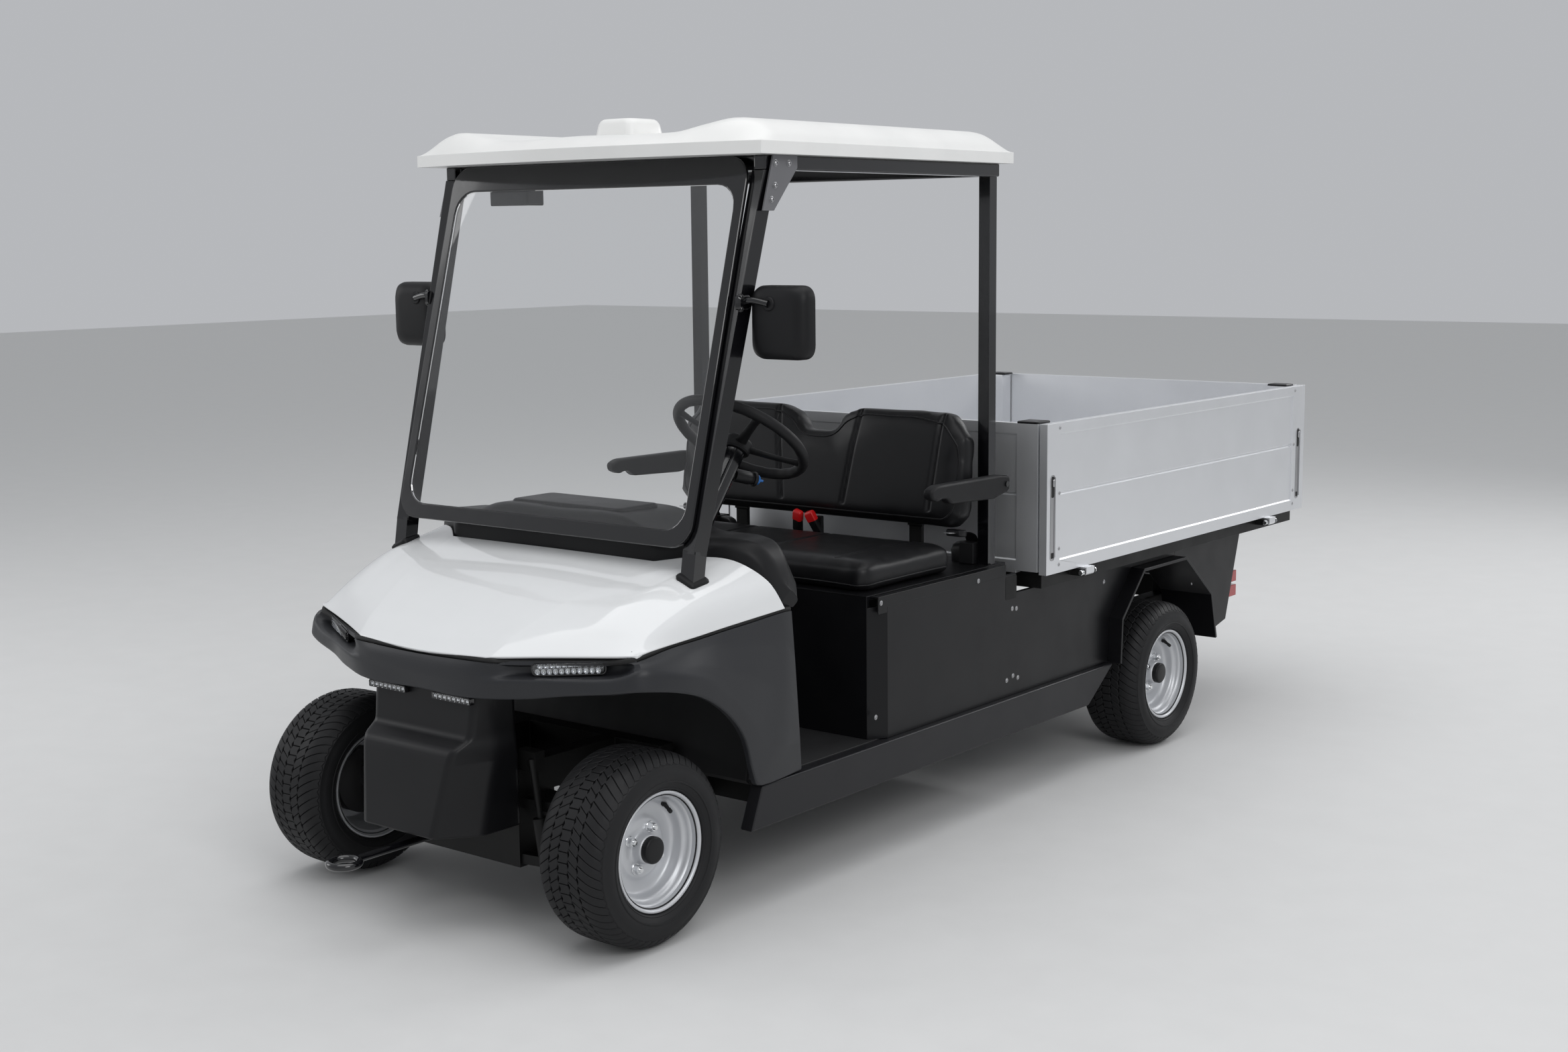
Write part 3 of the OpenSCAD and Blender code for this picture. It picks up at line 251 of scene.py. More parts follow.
HOOD_WHITE = Finish("hood white", (0.80, 0.81, 0.82), 0.10, coat=0.7, grain=Grain.PEEL, grain_mm=9,
                    depth_mm=0.02, spread=0.03, mottle=0.01)
ROOF_WHITE = Finish("roof white", (0.79, 0.79, 0.78), 0.34, grain=Grain.PEEL, grain_mm=4, depth_mm=0.06,
                    mottle=0.02)
FASCIA_GREY = Finish("fascia grey", (0.020, 0.021, 0.024), 0.42, grain=Grain.MOULDED, grain_mm=1.1,
                     depth_mm=0.05, specular=0.4)
DASH_BLACK = Finish("dash black", (0.007, 0.007, 0.008), 0.46, grain=Grain.MOULDED, grain_mm=1.2,
                    depth_mm=0.07, specular=0.26)
APRON_BLACK = Finish("apron black", (0.006, 0.006, 0.007), 0.36, grain=Grain.MOULDED, grain_mm=1.0,
                     depth_mm=0.04, specular=0.3)
PANEL_BLACK = Finish("panel black", (0.005, 0.005, 0.006), 0.34, grain=Grain.POWDER, grain_mm=1.6,
                     depth_mm=0.05, specular=0.26)
GLOSS_BLACK = Finish("gloss black", (0.003, 0.003, 0.004), 0.14, coat=0.5, grain=Grain.PEEL, grain_mm=6,
                     depth_mm=0.03, spread=0.04)
FRAME_BLACK = Finish("frame black", (0.007, 0.007, 0.007), 0.45, grain=Grain.POWDER, grain_mm=2.0,
                     depth_mm=0.08, specular=0.24)
SILL_GREY = Finish("sill grey", (0.012, 0.012, 0.014), 0.38, grain=Grain.MOULDED, grain_mm=1.2,
                   depth_mm=0.05, specular=0.3)
FLOOR_MAT = Finish("floor mat", (0.013, 0.013, 0.014), 0.60, grain=Grain.RIBBED, grain_mm=12, depth_mm=0.8)
GUSSET_GREY = Finish("gusset grey", (0.16, 0.16, 0.17), 0.42, metallic=0.3, grain=Grain.POWDER, grain_mm=1.6)
VINYL = Finish("seat vinyl", (0.006, 0.006, 0.007), 0.38, grain=Grain.LEATHER, grain_mm=2.2, depth_mm=0.14,
               spread=0.07, specular=0.32)
GRIP = Finish("grip black", (0.007, 0.007, 0.008), 0.52, grain=Grain.MOULDED, grain_mm=0.9, depth_mm=0.07,
              specular=0.28)
TYRE_RUBBER = Finish("tyre rubber", (0.010, 0.010, 0.011), 0.58, grain=Grain.RUBBER, grain_mm=1.4,
                     depth_mm=0.12, spread=0.10, mottle=0.15, specular=0.3)
WHEEL_SILVER = Finish("wheel silver", (0.62, 0.63, 0.65), 0.42, metallic=0.62, grain=Grain.FLAKE,
                      grain_mm=0.7, depth_mm=0.012, mottle=0.03)
ALUMINIUM = Finish("bed aluminium", (0.80, 0.81, 0.83), 0.38, metallic=0.80, grain=Grain.BRUSHED,
                   grain_mm=0.5, depth_mm=0.010, spread=0.03, mottle=0.012)
ALUMINIUM_ACROSS = Finish("bed aluminium across", (0.80, 0.81, 0.83), 0.38, metallic=0.80,
                          grain=Grain.BRUSHED, grain_mm=0.5, depth_mm=0.010, spread=0.03, mottle=0.012,
                          streak=0)
ALUMINIUM_UP = Finish("bed aluminium upright", (0.80, 0.81, 0.83), 0.38, metallic=0.80, grain=Grain.BRUSHED,
                      grain_mm=0.5, depth_mm=0.010, spread=0.03, mottle=0.012, streak=2)
DECK_ALUMINIUM = Finish("deck aluminium", (0.50, 0.51, 0.53), 0.52, metallic=0.55, grain=Grain.BRUSHED,
                        grain_mm=0.5, depth_mm=0.010, spread=0.03, mottle=0.02)
CHROME = Finish("bright chrome", (0.78, 0.79, 0.80), 0.12, metallic=1.0, spread=0.05, mottle=0.02)
STEEL = Finish("bright steel", (0.45, 0.45, 0.46), 0.32, metallic=1.0, grain=Grain.FLAKE, grain_mm=0.8,
               depth_mm=0.02)
CAST = Finish("cast steel", (0.05, 0.05, 0.052), 0.55, metallic=0.5, grain=Grain.POWDER, grain_mm=3.0,
              depth_mm=0.2)
CASE_GREY = Finish("battery case", (0.10, 0.10, 0.11), 0.5, grain=Grain.MOULDED, grain_mm=1.5)
PANE = Finish("windscreen pane", (0.975, 0.98, 0.98), 0.0, clear=1.0, spread=0.0, mottle=0.0)
LENS = Finish("lamp lens", (0.95, 0.96, 0.97), 0.03, clear=1.0, spread=0.0, mottle=0.0)
REFLECTOR = Finish("lamp reflector", (0.82, 0.83, 0.85), 0.10, metallic=1.0, spread=0.03, mottle=0.0)
LED_WHITE = Finish("lamp diode", (0.86, 0.87, 0.84), 0.25, spread=0.05, mottle=0.0)
TAIL_RED = Finish("tail lamp red", (0.36, 0.008, 0.010), 0.14, coat=0.5, spread=0.04, mottle=0.05)
BUCKLE_RED = Finish("buckle red", (0.62, 0.010, 0.012), 0.30, spread=0.05, mottle=0.04)
KEY_BLUE = Finish("key knob blue", (0.010, 0.13, 0.42), 0.28, spread=0.05, mottle=0.04)
MIRROR = Finish("mirror glass", (0.86, 0.87, 0.88), 0.02, metallic=1.0, spread=0.0, mottle=0.0)
# Flat black for gaps, holes and sockets: painted shade where an opening would be dark.
GAP_SHADE_BLACK = Finish("painted gap shade", (0.004, 0.004, 0.004), 0.7, spread=0.05, mottle=0.1)


class Shape:
    """Mesh under construction: points in metres and faces."""

    def __init__(self) -> None:
        """Starts an empty mesh."""
        self.points: list[Vector] = []
        self.faces: list[Face] = []

    def add(self, points: Iterable[Point], faces: Iterable[Face]) -> None:
        """Adds points and the faces over them.

        Args:
            points: New points.
            faces: Faces that count from the first new point.
        """
        base = len(self.points)
        self.points += [Vector(p) for p in points]
        self.faces += [tuple(base + k for k in f) for f in faces]

    def grid(self, rows: Sequence[Sequence[Point]], around: bool = False, along: bool = False) -> None:
        """Adds a sheet of quads over rows of points.

        Args:
            rows: Rows with equal counts.
            around: Joins each row's end to its start.
            along: Joins the last row to the first.
        """
        n, m = len(rows), len(rows[0])
        faces = [
            (i * m + j, i * m + (j + 1) % m, (i + 1) % n * m + (j + 1) % m, (i + 1) % n * m + j)
            for i in range(n if along else n - 1)
            for j in range(m if around else m - 1)
        ]
        self.add([p for row in rows for p in row], faces)

    def loft(self, rows: Sequence[Sequence[Point]]) -> None:
        """Adds a closed form over rings of points.

        Args:
            rows: Rings with equal counts, from one end to the other.
        """
        base, n = len(self.points), len(rows[0])
        self.grid(rows, around=True)
        last = base + (len(rows) - 1) * n
        self.faces += [tuple(base + k for k in reversed(range(n))), tuple(last + k for k in range(n))]

    def tube(self, path: Sequence[Point], radius: float | Sequence[float], sides: int = 16) -> None:
        """Adds a round tube along a path.

        Args:
            path: Middle points.
            radius: One radius, or one for each point.
            sides: Points round the tube.
        """
        pts = [Vector(p) for p in path]
        sizes = [radius] * len(pts) if isinstance(radius, (int, float)) else list(radius)
        last = len(pts) - 1
        tangents = [(pts[min(k + 1, last)] - pts[max(k - 1, 0)]).normalized() for k in range(last + 1)]
        side = tangents[0].orthogonal().normalized()
        rows = []
        for p, t, r in zip(pts, tangents, sizes):
            side = (side - t * side.dot(t)).normalized()
            up = t.cross(side)
            rows.append([p + r * (side * math.cos(a) + up * math.sin(a)) for a in turns(sides)])
        self.loft(rows)

    def revolve(self, profile: Sequence[tuple[float, float]], place: Matrix, steps: int = 64,
                loop: bool = False) -> None:
        """Adds a turned form.

        Args:
            profile: Radius and height of each ring.
            place: Turns the local Z axis and its origin into the frame.
            steps: Points round the form.
            loop: Joins the last ring to the first.
        """
        rows = [
            [place @ Vector((r * math.cos(a), r * math.sin(a), h)) for a in turns(steps)]
            for r, h in profile
        ]
        self.grid(rows, around=True, along=loop)

    def prism(self, outline: Sequence[Point], depth: Vector) -> None:
        """Adds a closed outline pushed along a vector.

        Args:
            outline: Corner points of one end.
            depth: From that end to the other.
        """
        n = len(outline)
        ends = [Vector(p) for p in outline]
        sides = [(k, (k + 1) % n, n + (k + 1) % n, n + k) for k in range(n)]
        caps = [tuple(reversed(range(n))), tuple(range(n, 2 * n))]
        self.add(ends + [p + depth for p in ends], sides + caps)

    def mirrored(self) -> "Shape":
        """Returns the shape's mirror image across the cart's middle."""
        other = Shape()
        other.points = [Vector((-p.x, p.y, p.z)) for p in self.points]
        other.faces = [tuple(reversed(f)) for f in self.faces]
        return other

    def sided(self, side: int) -> "Shape":
        """Returns the shape on the cart's left for 1, or its mirror image for -1."""
        return self if side > 0 else self.mirrored()

    def double(self) -> None:
        """Adds the shape's mirror image to it."""
        self.join(self.mirrored())

    def moved(self, place: Matrix) -> "Shape":
        """Returns a copy of the shape in another place."""
        other = Shape()
        other.points = [place @ p for p in self.points]
        other.faces = list(self.faces)
        return other

    def join(self, other: "Shape") -> None:
        """Adds another shape's points and faces."""
        self.add(other.points, other.faces)

    def piece(
        self,
        name: str,
        finish: Finish,
        slot: str,
        body: str = CHASSIS,
        bevel_mm: float = 0.0,
        smooth_deg: float = 35.0,
        closed: bool = True,
    ) -> bpy.types.Object:
        """Makes the shape an object that rides on a body.

        Args:
            name: Name of the piece.
            finish: Its finish.
            slot: The record's material slot; not used.
            body: Body that carries it.
            bevel_mm: Rounds sharp edges by this much.
            smooth_deg: Edges sharper than this stay sharp.
            closed: Turns all faces outwards, for a form with no open edge.

        Returns:
            The new object.
        """
        mesh = bpy.data.meshes.new(name)
        mesh.from_pydata(self.points, [], self.faces)
        work = bmesh.new()
        work.from_mesh(mesh)
        bmesh.ops.remove_doubles(work, verts=work.verts, dist=1e-6)
        if closed:
            bmesh.ops.recalc_face_normals(work, faces=work.faces)
        work.to_mesh(mesh)
        work.free()
        obj = bpy.data.objects.new(name, mesh)
        bpy.context.scene.collection.objects.link(obj)
        mesh.materials.append(finish.material())
        shade(mesh, smooth_deg)
        if bevel_mm:
            round_edges(obj, bevel_mm)
        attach(obj, body)
        LOG.info("piece %s: %d faces on %s", name, len(mesh.polygons), body)
        return obj


def turns(count: int) -> list[float]:
    """Returns equal angles round a circle."""
    return [2 * math.pi * k / count for k in range(count)]


def shade(mesh: bpy.types.Mesh, smooth_deg: float) -> None:
    """Shades a mesh smooth, apart from its sharp edges."""
    mesh.polygons.foreach_set("use_smooth", [True] * len(mesh.polygons))
    mesh.set_sharp_from_angle(angle=math.radians(smooth_deg))


def round_edges(obj: bpy.types.Object, width_mm: float, segments: int = 3) -> None:
    """Rounds an object's sharp edges with modifiers.

    Args:
        obj: The object.
        width_mm: Width of the rounding.
        segments: Steps across it.
    """
    weld = obj.modifiers.new("weld", "WELD")
    weld.merge_threshold = 2e-5
    bevel = obj.modifiers.new("round", "BEVEL")
    bevel.width = width_mm * MM
    bevel.segments = segments
    bevel.limit_method = "ANGLE"
    bevel.angle_limit = math.radians(32)
    bevel.use_clamp_overlap = True
    bevel.miter_outer = "MITER_ARC"
    normals = obj.modifiers.new("normals", "WEIGHTED_NORMAL")
    normals.keep_sharp = True


def spline(points: Sequence[Vector], steps: int) -> list[Vector]:
    """Runs a smooth curve through points.

    Args:
        points: The points.
        steps: Steps between two points.

    Returns:
        Points along the curve.
    """
    out = []
    last = len(points) - 1
    for i in range(last):
        a, b, c, d = (points[min(max(i + k, 0), last)] for k in (-1, 0, 1, 2))
        for k in range(steps):
            t = k / steps
            out.append(b + t * ((c - a) / 2 + t * (a - 2.5 * b + 2 * c - d / 2
                                                   + t * (1.5 * (b - c) + (d - a) / 2))))
    out.append(points[last])
    return out


def rounded(outline: Sequence[Vector], radius: float, steps: int = 5) -> list[Vector]:
    """Rounds the corners of a closed outline.

    Args:
        outline: Corner points.
        radius: Distance from a corner to where its rounding starts.
        steps: Steps along a rounding.

    Returns:
        The rounded outline.
    """
    out = []
    n = len(outline)
    for k, p in enumerate(outline):
        before, after = outline[k - 1] - p, outline[(k + 1) % n] - p
        reach = min(radius, before.length * 0.48, after.length * 0.48)
        a, b = p + before.normalized() * reach, p + after.normalized() * reach
        for s in range(steps + 1):
            t = s / steps
            out.append(a * (1 - t) ** 2 + p * 2 * t * (1 - t) + b * t ** 2)
    return out


def fillet(points: Sequence[Vector], radius: float, steps: int = 3) -> list[Vector]:
    """Rounds the inner corners of an open line.

    Args:
        points: The line's points.
        radius: Distance from a corner to where its rounding starts.
        steps: Steps along a rounding.

    Returns:
        The rounded line.
    """
    out = [points[0]]
    for a, p, b in zip(points, points[1:], points[2:]):
        start = p + (a - p).normalized() * min(radius, (a - p).length * 0.45)
        end = p + (b - p).normalized() * min(radius, (b - p).length * 0.45)
        for k in range(steps + 1):
            t = k / steps
            out.append(start.lerp(p, t).lerp(p.lerp(end, t), t))
    return out + [points[-1]]


def through(pairs: Sequence[tuple[float, float]], at: float) -> float:
    """Reads a smooth curve through pairs of place and value.

    Args:
        pairs: Places in rising order, with their values.
        at: Place to read.

    Returns:
        The curve's value there.
    """
    last = len(pairs) - 1
    if at <= pairs[0][0] or at >= pairs[last][0]:
        return pairs[0][1] if at <= pairs[0][0] else pairs[last][1]
    i = max(k for k in range(last) if pairs[k][0] <= at)

    def slope(k: int) -> float:
        """Slope of the curve at a pair."""
        (a, fa), (b, fb) = pairs[max(k - 1, 0)], pairs[min(k + 1, last)]
        return (fb - fa) / (b - a)

    (x0, y0), (x1, y1) = pairs[i], pairs[i + 1]
    w = x1 - x0
    t = (at - x0) / w
    low = y0 * (1 + 2 * t) * (1 - t) ** 2 + y1 * t * t * (3 - 2 * t)
    return low + w * (slope(i) * t * (1 - t) ** 2 + slope(i + 1) * t * t * (t - 1))


def guide(rows: Sequence[Sequence[Point]]) -> list[list[Vector]]:
    """Places lines of millimetre points on the left half, and mirrors them to the right.

    Args:
        rows: Lines from the cart's middle to its left.

    Returns:
        Lines from the cart's right to its left.
    """
    left = [[spot(*p) for p in row] for row in rows]
    right = [[Vector((-p.x, p.y, p.z)) for p in row] for row in reversed(left[1:])]
    return right + left


def block_outline(wide: float, high: float, radius: float, steps: int = 6) -> list[Vector]:
    """Returns a rounded rectangle round the origin, in the local XY plane."""
    x, y = wide / 2, high / 2
    corners = [Vector((-x, -y, 0)), Vector((x, -y, 0)), Vector((x, y, 0)), Vector((-x, y, 0))]
    return rounded(corners, radius, steps)


def pad(shape: Shape, place: Matrix, levels: Sequence[tuple[float, float, float, float]],
        steps: int = 6) -> None:
    """Adds a closed form of stacked rounded rectangles.

    Args:
        shape: Mesh that takes the form.
        place: Turns the form's millimetres into the frame.
        levels: Height, width, depth and corner radius of each level, from the bottom.
        steps: Steps round a corner.
    """
    scaled = place @ Matrix.Scale(MM, 4)
    rows = [
        [scaled @ (p + Vector((0, 0, h))) for p in block_outline(w, d, r, steps)]
        for h, w, d, r in levels
    ]
    shape.loft(rows)


def screw(shape: Shape, at: Vector, axis: Vector, radius: float = 5.0, high: float = 2.6) -> None:
    """Adds a domed screw head with a dished middle.

    Args:
        shape: Mesh that takes the head.
        at: Point on the panel.
        axis: Direction out of the panel.
        radius: Radius of the head.
        high: Height of the head.
    """
    rings = [(radius * 1.25, -0.2), (radius * 1.25, 0.5), (radius, 0.7), (radius * 0.9, high * 0.7),
             (radius * 0.6, high), (radius * 0.36, high), (radius * 0.3, high * 0.5), (0.001, high * 0.5)]
    shape.revolve(metres(rings), facing(at, axis, Vector((0.1, 0.3, 1))), steps=14)


def shell(
    name: str, rows: Sequence[Sequence[Vector]], outward: Vector, thick_mm: float, finish: Finish, slot: str,
    edge_mm: float = 1.5, smooth_deg: float = 50.0,
) -> bpy.types.Object:
    """Makes a sheet of points a panel with an even thickness.

    Args:
        name: Name of the piece.
        rows: Rows of points on the panel's outside.
        outward: Direction that the outside mostly faces.
        thick_mm: Thickness, laid on the inside.
        finish: Its finish.
        slot: The record's material slot.
        edge_mm: Rounding of the rim.
        smooth_deg: Edges sharper than this stay sharp.

    Returns:
        The new object.
    """
    shape = Shape()
    shape.grid(rows)
    total = sum(((shape.points[b] - shape.points[a]).cross(shape.points[d] - shape.points[a])
                 for a, b, _, d in shape.faces), Vector())
    if total.dot(outward) < 0:
        shape.faces = [tuple(reversed(f)) for f in shape.faces]
    obj = shape.piece(name, finish, slot, smooth_deg=smooth_deg, closed=False)
    thick = obj.modifiers.new("thickness", "SOLIDIFY")
    thick.thickness = thick_mm * MM
    thick.offset = -1
    thick.use_even_offset = True
    round_edges(obj, edge_mm)
    return obj


def facing(origin: Vector, axis: Vector, up: Vector = Vector((0, 0, 1))) -> Matrix:
    """Returns a placing whose local Z runs along an axis and whose local Y leans to up.

    Args:
        origin: Local origin.
        axis: Direction of the local Z axis.
        up: Direction that the local Y axis leans to.

    Returns:
        The placing.
    """
    z = axis.normalized()
    x = up.cross(z).normalized()
    y = z.cross(x)
    return Matrix.Translation(origin) @ Matrix((x, y, z)).transposed().to_4x4()


@dataclass
class CadDress:
    """Finishes for the solids that stay in sight.

    Attributes:
        edge_mm: Rounding of a plain sheet or tube edge.
    """

    edge_mm: float = 1.6

    def dress(self) -> None:
        """Gives each kept solid its finish and rounded edges."""
        soft, fine = self.edge_mm * 3, self.edge_mm * 0.3
        plan: dict[Finish, dict[str, float]] = {
            FRAME_BLACK: {"chassis_frame": 3, "front_suspension": self.edge_mm, "leaf_springs": self.edge_mm,
                          "pedals": self.edge_mm, "seat_supports": 2, "tow_hitch": 2,
                          "bed_frame": self.edge_mm},
            CAST: {"knuckle_left": self.edge_mm, "knuckle_right": self.edge_mm, "rear_axle": 3},
            STEEL: {"steering_rack": self.edge_mm},
            CASE_GREY: {"battery_pack": 6},
            FLOOR_MAT: {"floor_pan": self.edge_mm},
            SILL_GREY: {"side_sills": soft},
            GLOSS_BLACK: {"tow_eye": 0, "steering_column": self.edge_mm, "windscreen_frame": 3.5,
                          "front_struts": 5, "rear_posts": 4, "roof_rails": 4},
            GUSSET_GREY: {"strut_gussets": 1},
            PANE: {"windscreen_pane": 0},
            PANEL_BLACK: {"seat_box": self.edge_mm, "side_panels": self.edge_mm, "rear_arches": 1.2,
                          "rear_skirt": self.edge_mm},
            GRIP: {"seat_belts": 3},
            TAIL_RED: {"tail_lamps": 3},
            DECK_ALUMINIUM: {"bed_deck": self.edge_mm},
            ALUMINIUM: {"drop_side_left": fine, "drop_side_right": fine},
            ALUMINIUM_ACROSS: {"bed_headboard": fine, "tailgate": fine},
            ALUMINIUM_UP: {"bed_rear_posts": 3},
        }
        for finish, nodes in plan.items():
            for node, edge in nodes.items():
                self._one(node, finish, edge)

    @staticmethod
    def _one(node: str, finish: Finish, edge: float) -> None:
        """Dresses one solid.

        Args:
            node: Name of the solid.
            finish: Its finish.
            edge: Rounding in millimetres, or 0 for none.
        """
        obj = NODES[node]
        obj.data.materials.clear()
        obj.data.materials.append(finish.material())
        if edge:
            round_edges(obj, edge)
        LOG.info("solid %s: %s", node, finish.name)


@dataclass
class Wheel:
    """A tyre on its steel wheel.

    Attributes:
        end: Which corner of the cart, as in the solids' names.
        side: 1 on the cart's left, -1 on its right.
        outer_r: Radius over the tread.
        half_w: Half the tyre's width; not used.
        pitches: Tread blocks round the tyre.
        lug_r: Radius of the circle of wheel nuts.
        lug_count: Number of wheel nuts.
        first_lug: Angle of the first nut in degrees.
    """

    end: str
    side: int
    outer_r: float = 228.0
    half_w: float = 102.5
    pitches: int = 58
    lug_r: float = 50.8
    lug_count: int = 4
    first_lug: float = 60.0

    shared: ClassVar[Shape | None] = None

    @property
    def body(self) -> str:
        """Name of the body that the wheel turns with."""
        return f"{self.end}_wheel"

    @cached_property
    def place(self) -> Matrix:
        """Placing with local Z out of the cart along the axle."""
        low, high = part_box(f"tyre_{self.end}")
        return facing((low + high) / 2, Vector((self.side, 0, 0)))

    def build(self) -> None:
        """Builds tyre, rim, nuts, cap and valve."""
        self._tyre()
        self._rim()
        self._nuts()
        self._cap()
        self._valve()

    def _tyre(self) -> None:
        """Builds the tyre from the form that all four share."""
        if Wheel.shared is None:
            Wheel.shared = self._tyre_form()
        form = Wheel.shared.moved(self.place)
        obj = form.piece(f"tyre_{self.end}_dressed", TYRE_RUBBER, "tyre_rubber", self.body, smooth_deg=32)
        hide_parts(f"tyre_{self.end}")

    def _tyre_form(self) -> Shape:
        """Returns the carcass with its sidewall ribs, and the tread blocks on it."""
        shape = Shape()
        half = [(222, 0), (221.8, 30), (221, 52), (218.5, 68), (214, 80), (207.5, 89), (201.5, 94.2),
                (200.4, 96.2), (197.6, 97.2), (196.4, 97.0), (188, 100.4), (178, 102.2), (170, 102.0),
                (165.4, 101), (164.4, 102.2), (161.6, 101.8), (160.6, 99.4), (154, 96.2), (149, 92.8),
                (147.6, 93.4), (145.2, 92.0), (143.4, 88.6), (142, 83.4), (129, 82.6)]
        profile = [(r, -h) for r, h in reversed(half)] + half[1:]
        shape.revolve(metres(profile), Matrix(), steps=116, loop=True)
        self._tread(shape)
        return shape

    def _crown(self, h: float) -> float:
        """Returns the tread's radius at a distance from the tyre's middle."""
        knots = [(0, 228), (40, 227.6), (58, 226.4), (70, 223.6), (80, 218.6), (88, 211.6), (94, 203.5)]
        a = abs(h)
        for (h0, r0), (h1, r1) in zip(knots, knots[1:]):
            if a <= h1:
                return r0 + (r1 - r0) * (a - h0) / (h1 - h0)
        return knots[-1][1]

    def _tread(self, shape: Shape) -> None:
        """Adds five ribs of zigzag blocks to the tyre.

        Args:
            shape: The tyre's mesh.
        """
        pitch = 2 * math.pi / self.pitches
        ribs = [([-13.0, 13.0], 0.0, 2.2), ([17.5, 41.0], 0.5, 2.2), ([-41.0, -17.5], 0.5, 2.2),
                ([45.5, 56.0, 66.0, 76.0, 85.0, 93.0], 0.0, 1.6),
                ([-93.0, -85.0, -76.0, -66.0, -56.0, -45.5], 0.0, 1.6)]
        for stations, phase, zig in ribs:
            for k in range(self.pitches):
                self._block(shape, stations, (k + phase) * pitch, pitch, zig)

    def _block(self, shape: Shape, stations: list[float], start: float, pitch: float, zig: float) -> None:
        """Adds one tread block.

        Args:
            shape: The tyre's mesh.
            stations: Distances from the tyre's middle across the block.
            start: Angle where the block starts.
            pitch: Angle from one block to the next.
            zig: How far the block's long edges kink.
        """
        slot, chamfer, foot = 0.085, 1.1, 7.0
        lean = 0.0030
        last = len(stations) - 1

        def at(col: int, row: int, out: float, drop: float) -> Vector:
            """Point of the block: column round the tyre, row across it, grown by out and lowered by drop."""
            h = stations[row]
            edge = -1 if row == 0 else 1 if row == last else 0
            kink = zig * (1 if col == 1 else -1) * (1 if edge else 0)
            share = (slot, 0.5, 1 - slot)[col] * pitch
            r = self._crown(h + kink) - drop
            angle = start + share + lean * abs(h) + (col - 1) * out / self.outer_r
            return Vector((r * math.cos(angle), r * math.sin(angle), h + kink + edge * out))

        rim = [(c, 0) for c in (0, 1, 2)] + [(2, r) for r in range(1, last)]
        rim += [(c, last) for c in (2, 1, 0)] + [(0, r) for r in range(last - 1, 0, -1)]
        top = {(c, r): i for i, (c, r) in enumerate((c, r) for r in range(last + 1) for c in range(3))}
        points = [at(c, r, 0.0, 0.0) for c, r in top]
        ring = len(points)
        points += [at(c, r, chamfer, chamfer) for c, r in rim]
        points += [at(c, r, chamfer, foot) for c, r in rim]
        n = len(rim)
        faces: list[Face] = [
            (top[c, r], top[c + 1, r], top[c + 1, r + 1], top[c, r + 1])
            for r in range(last)
            for c in range(2)
        ]
        for k in range(n):
            j = (k + 1) % n
            faces.append((top[rim[k]], top[rim[j]], ring + j, ring + k))
            faces.append((ring + k, ring + j, ring + n + j, ring + n + k))
        shape.add([p * MM for p in points], faces)

    def _rim(self) -> None:
        """Builds the deep steel rim with its lip, bead steps and dished disc."""
        outside = [(136.5, 82.5), (139.6, 83.4), (141, 85.2), (140.8, 87.4), (139.2, 88.8), (136.8, 88.9),
                   (134.2, 87.6), (132.2, 84.4), (130.6, 79.0), (129.4, 73.0), (128.2, 70.5), (126.0, 69.0),
                   (123.8, 66.6), (122.6, 62.0), (121.0, 56.0), (117.4, 53.0), (114.2, 50.6), (112.6, 46.0),
                   (111.6, 38.0), (109.6, 30.0), (105.6, 25.2), (100.0, 23.4), (92.0, 23.0), (80.0, 23.6),
                   (74.0, 26.0), (70.0, 29.4), (66.0, 31.0), (50.0, 31.2), (41.0, 31.4), (38.2, 33.0),
                   (36.4, 37.0), (35.2, 44.0), (34.4, 51.0), (32.8, 54.0), (30.0, 55.0), (0.001, 55.0)]
        inside = [(0.001, 17.0), (90.0, 17.0), (104.0, 18.0), (108.0, 8.0), (112.0, -30.0), (121.0, -40.0),
                  (123.0, -76.0), (133.0, -84.0), (136.0, -88.9), (139.6, -88.6), (141.0, -86.4),
                  (140.6, -83.6), (137.0, -82.5), (128.6, -80.0), (126.9, -60.0), (118.0, -36.0),
                  (117.0, 36.0), (126.9, 58.0), (128.6, 80.0)]
        shape = Shape()
        shape.revolve(metres(outside + inside), self.place, steps=96, loop=True)
        obj = shape.piece(f"wheel_{self.end}_dressed", WHEEL_SILVER, "silver_wheel", self.body, smooth_deg=48)
        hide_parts(f"wheel_{self.end}")

    def _lug_angles(self) -> list[float]:
        """Returns the angles of the wheel nuts."""
        return [math.radians(self.first_lug) + a for a in turns(self.lug_count)]

    def _nuts(self) -> None:
        """Builds the chrome wheel nuts with their washers and stud ends."""
        shape = Shape()
        washer = [(0.001, 31.2), (13.2, 31.2), (13.2, 33.0), (12.4, 33.8), (0.001, 33.8)]
        stud = [(0.001, 44.0), (5.9, 44.0), (5.9, 51.0), (5.0, 52.2), (0.001, 52.2)]
        collar = [(9.0, 46.6), (8.4, 47.6), (5.9, 47.6)]
        for angle in self._lug_angles():
            local = Matrix.Translation(Vector((math.cos(angle), math.sin(angle), 0)) * self.lug_r * MM)
            spot_place = self.place @ local
            shape.revolve(metres(washer), spot_place, steps=24)
            shape.revolve(metres(stud), spot_place, steps=20)
            shape.revolve(metres([(10.97, 33.8), (10.97, 45.4), (9.2, 46.8), (5.9, 46.8)]), spot_place,
                          steps=6)
            shape.revolve(metres(collar), spot_place, steps=20)
        shape.piece(f"wheel_nuts_{self.end}", CHROME, "bright_steel", self.body, smooth_deg=30)

    def _cap(self) -> None:
        """Builds the black cap on the hub."""
        shape = Shape()
        dome = [(0.001, 55.0), (31.4, 55.0), (31.8, 56.0), (31.8, 67.0), (31.0, 69.4), (28.6, 71.2),
                (24.0, 72.2), (12.0, 73.0), (0.001, 73.2)]
        shape.revolve(metres(dome), self.place, steps=48)
        shape.piece(f"hub_cap_{self.end}", APRON_BLACK, "black_plastic", self.body, smooth_deg=40)

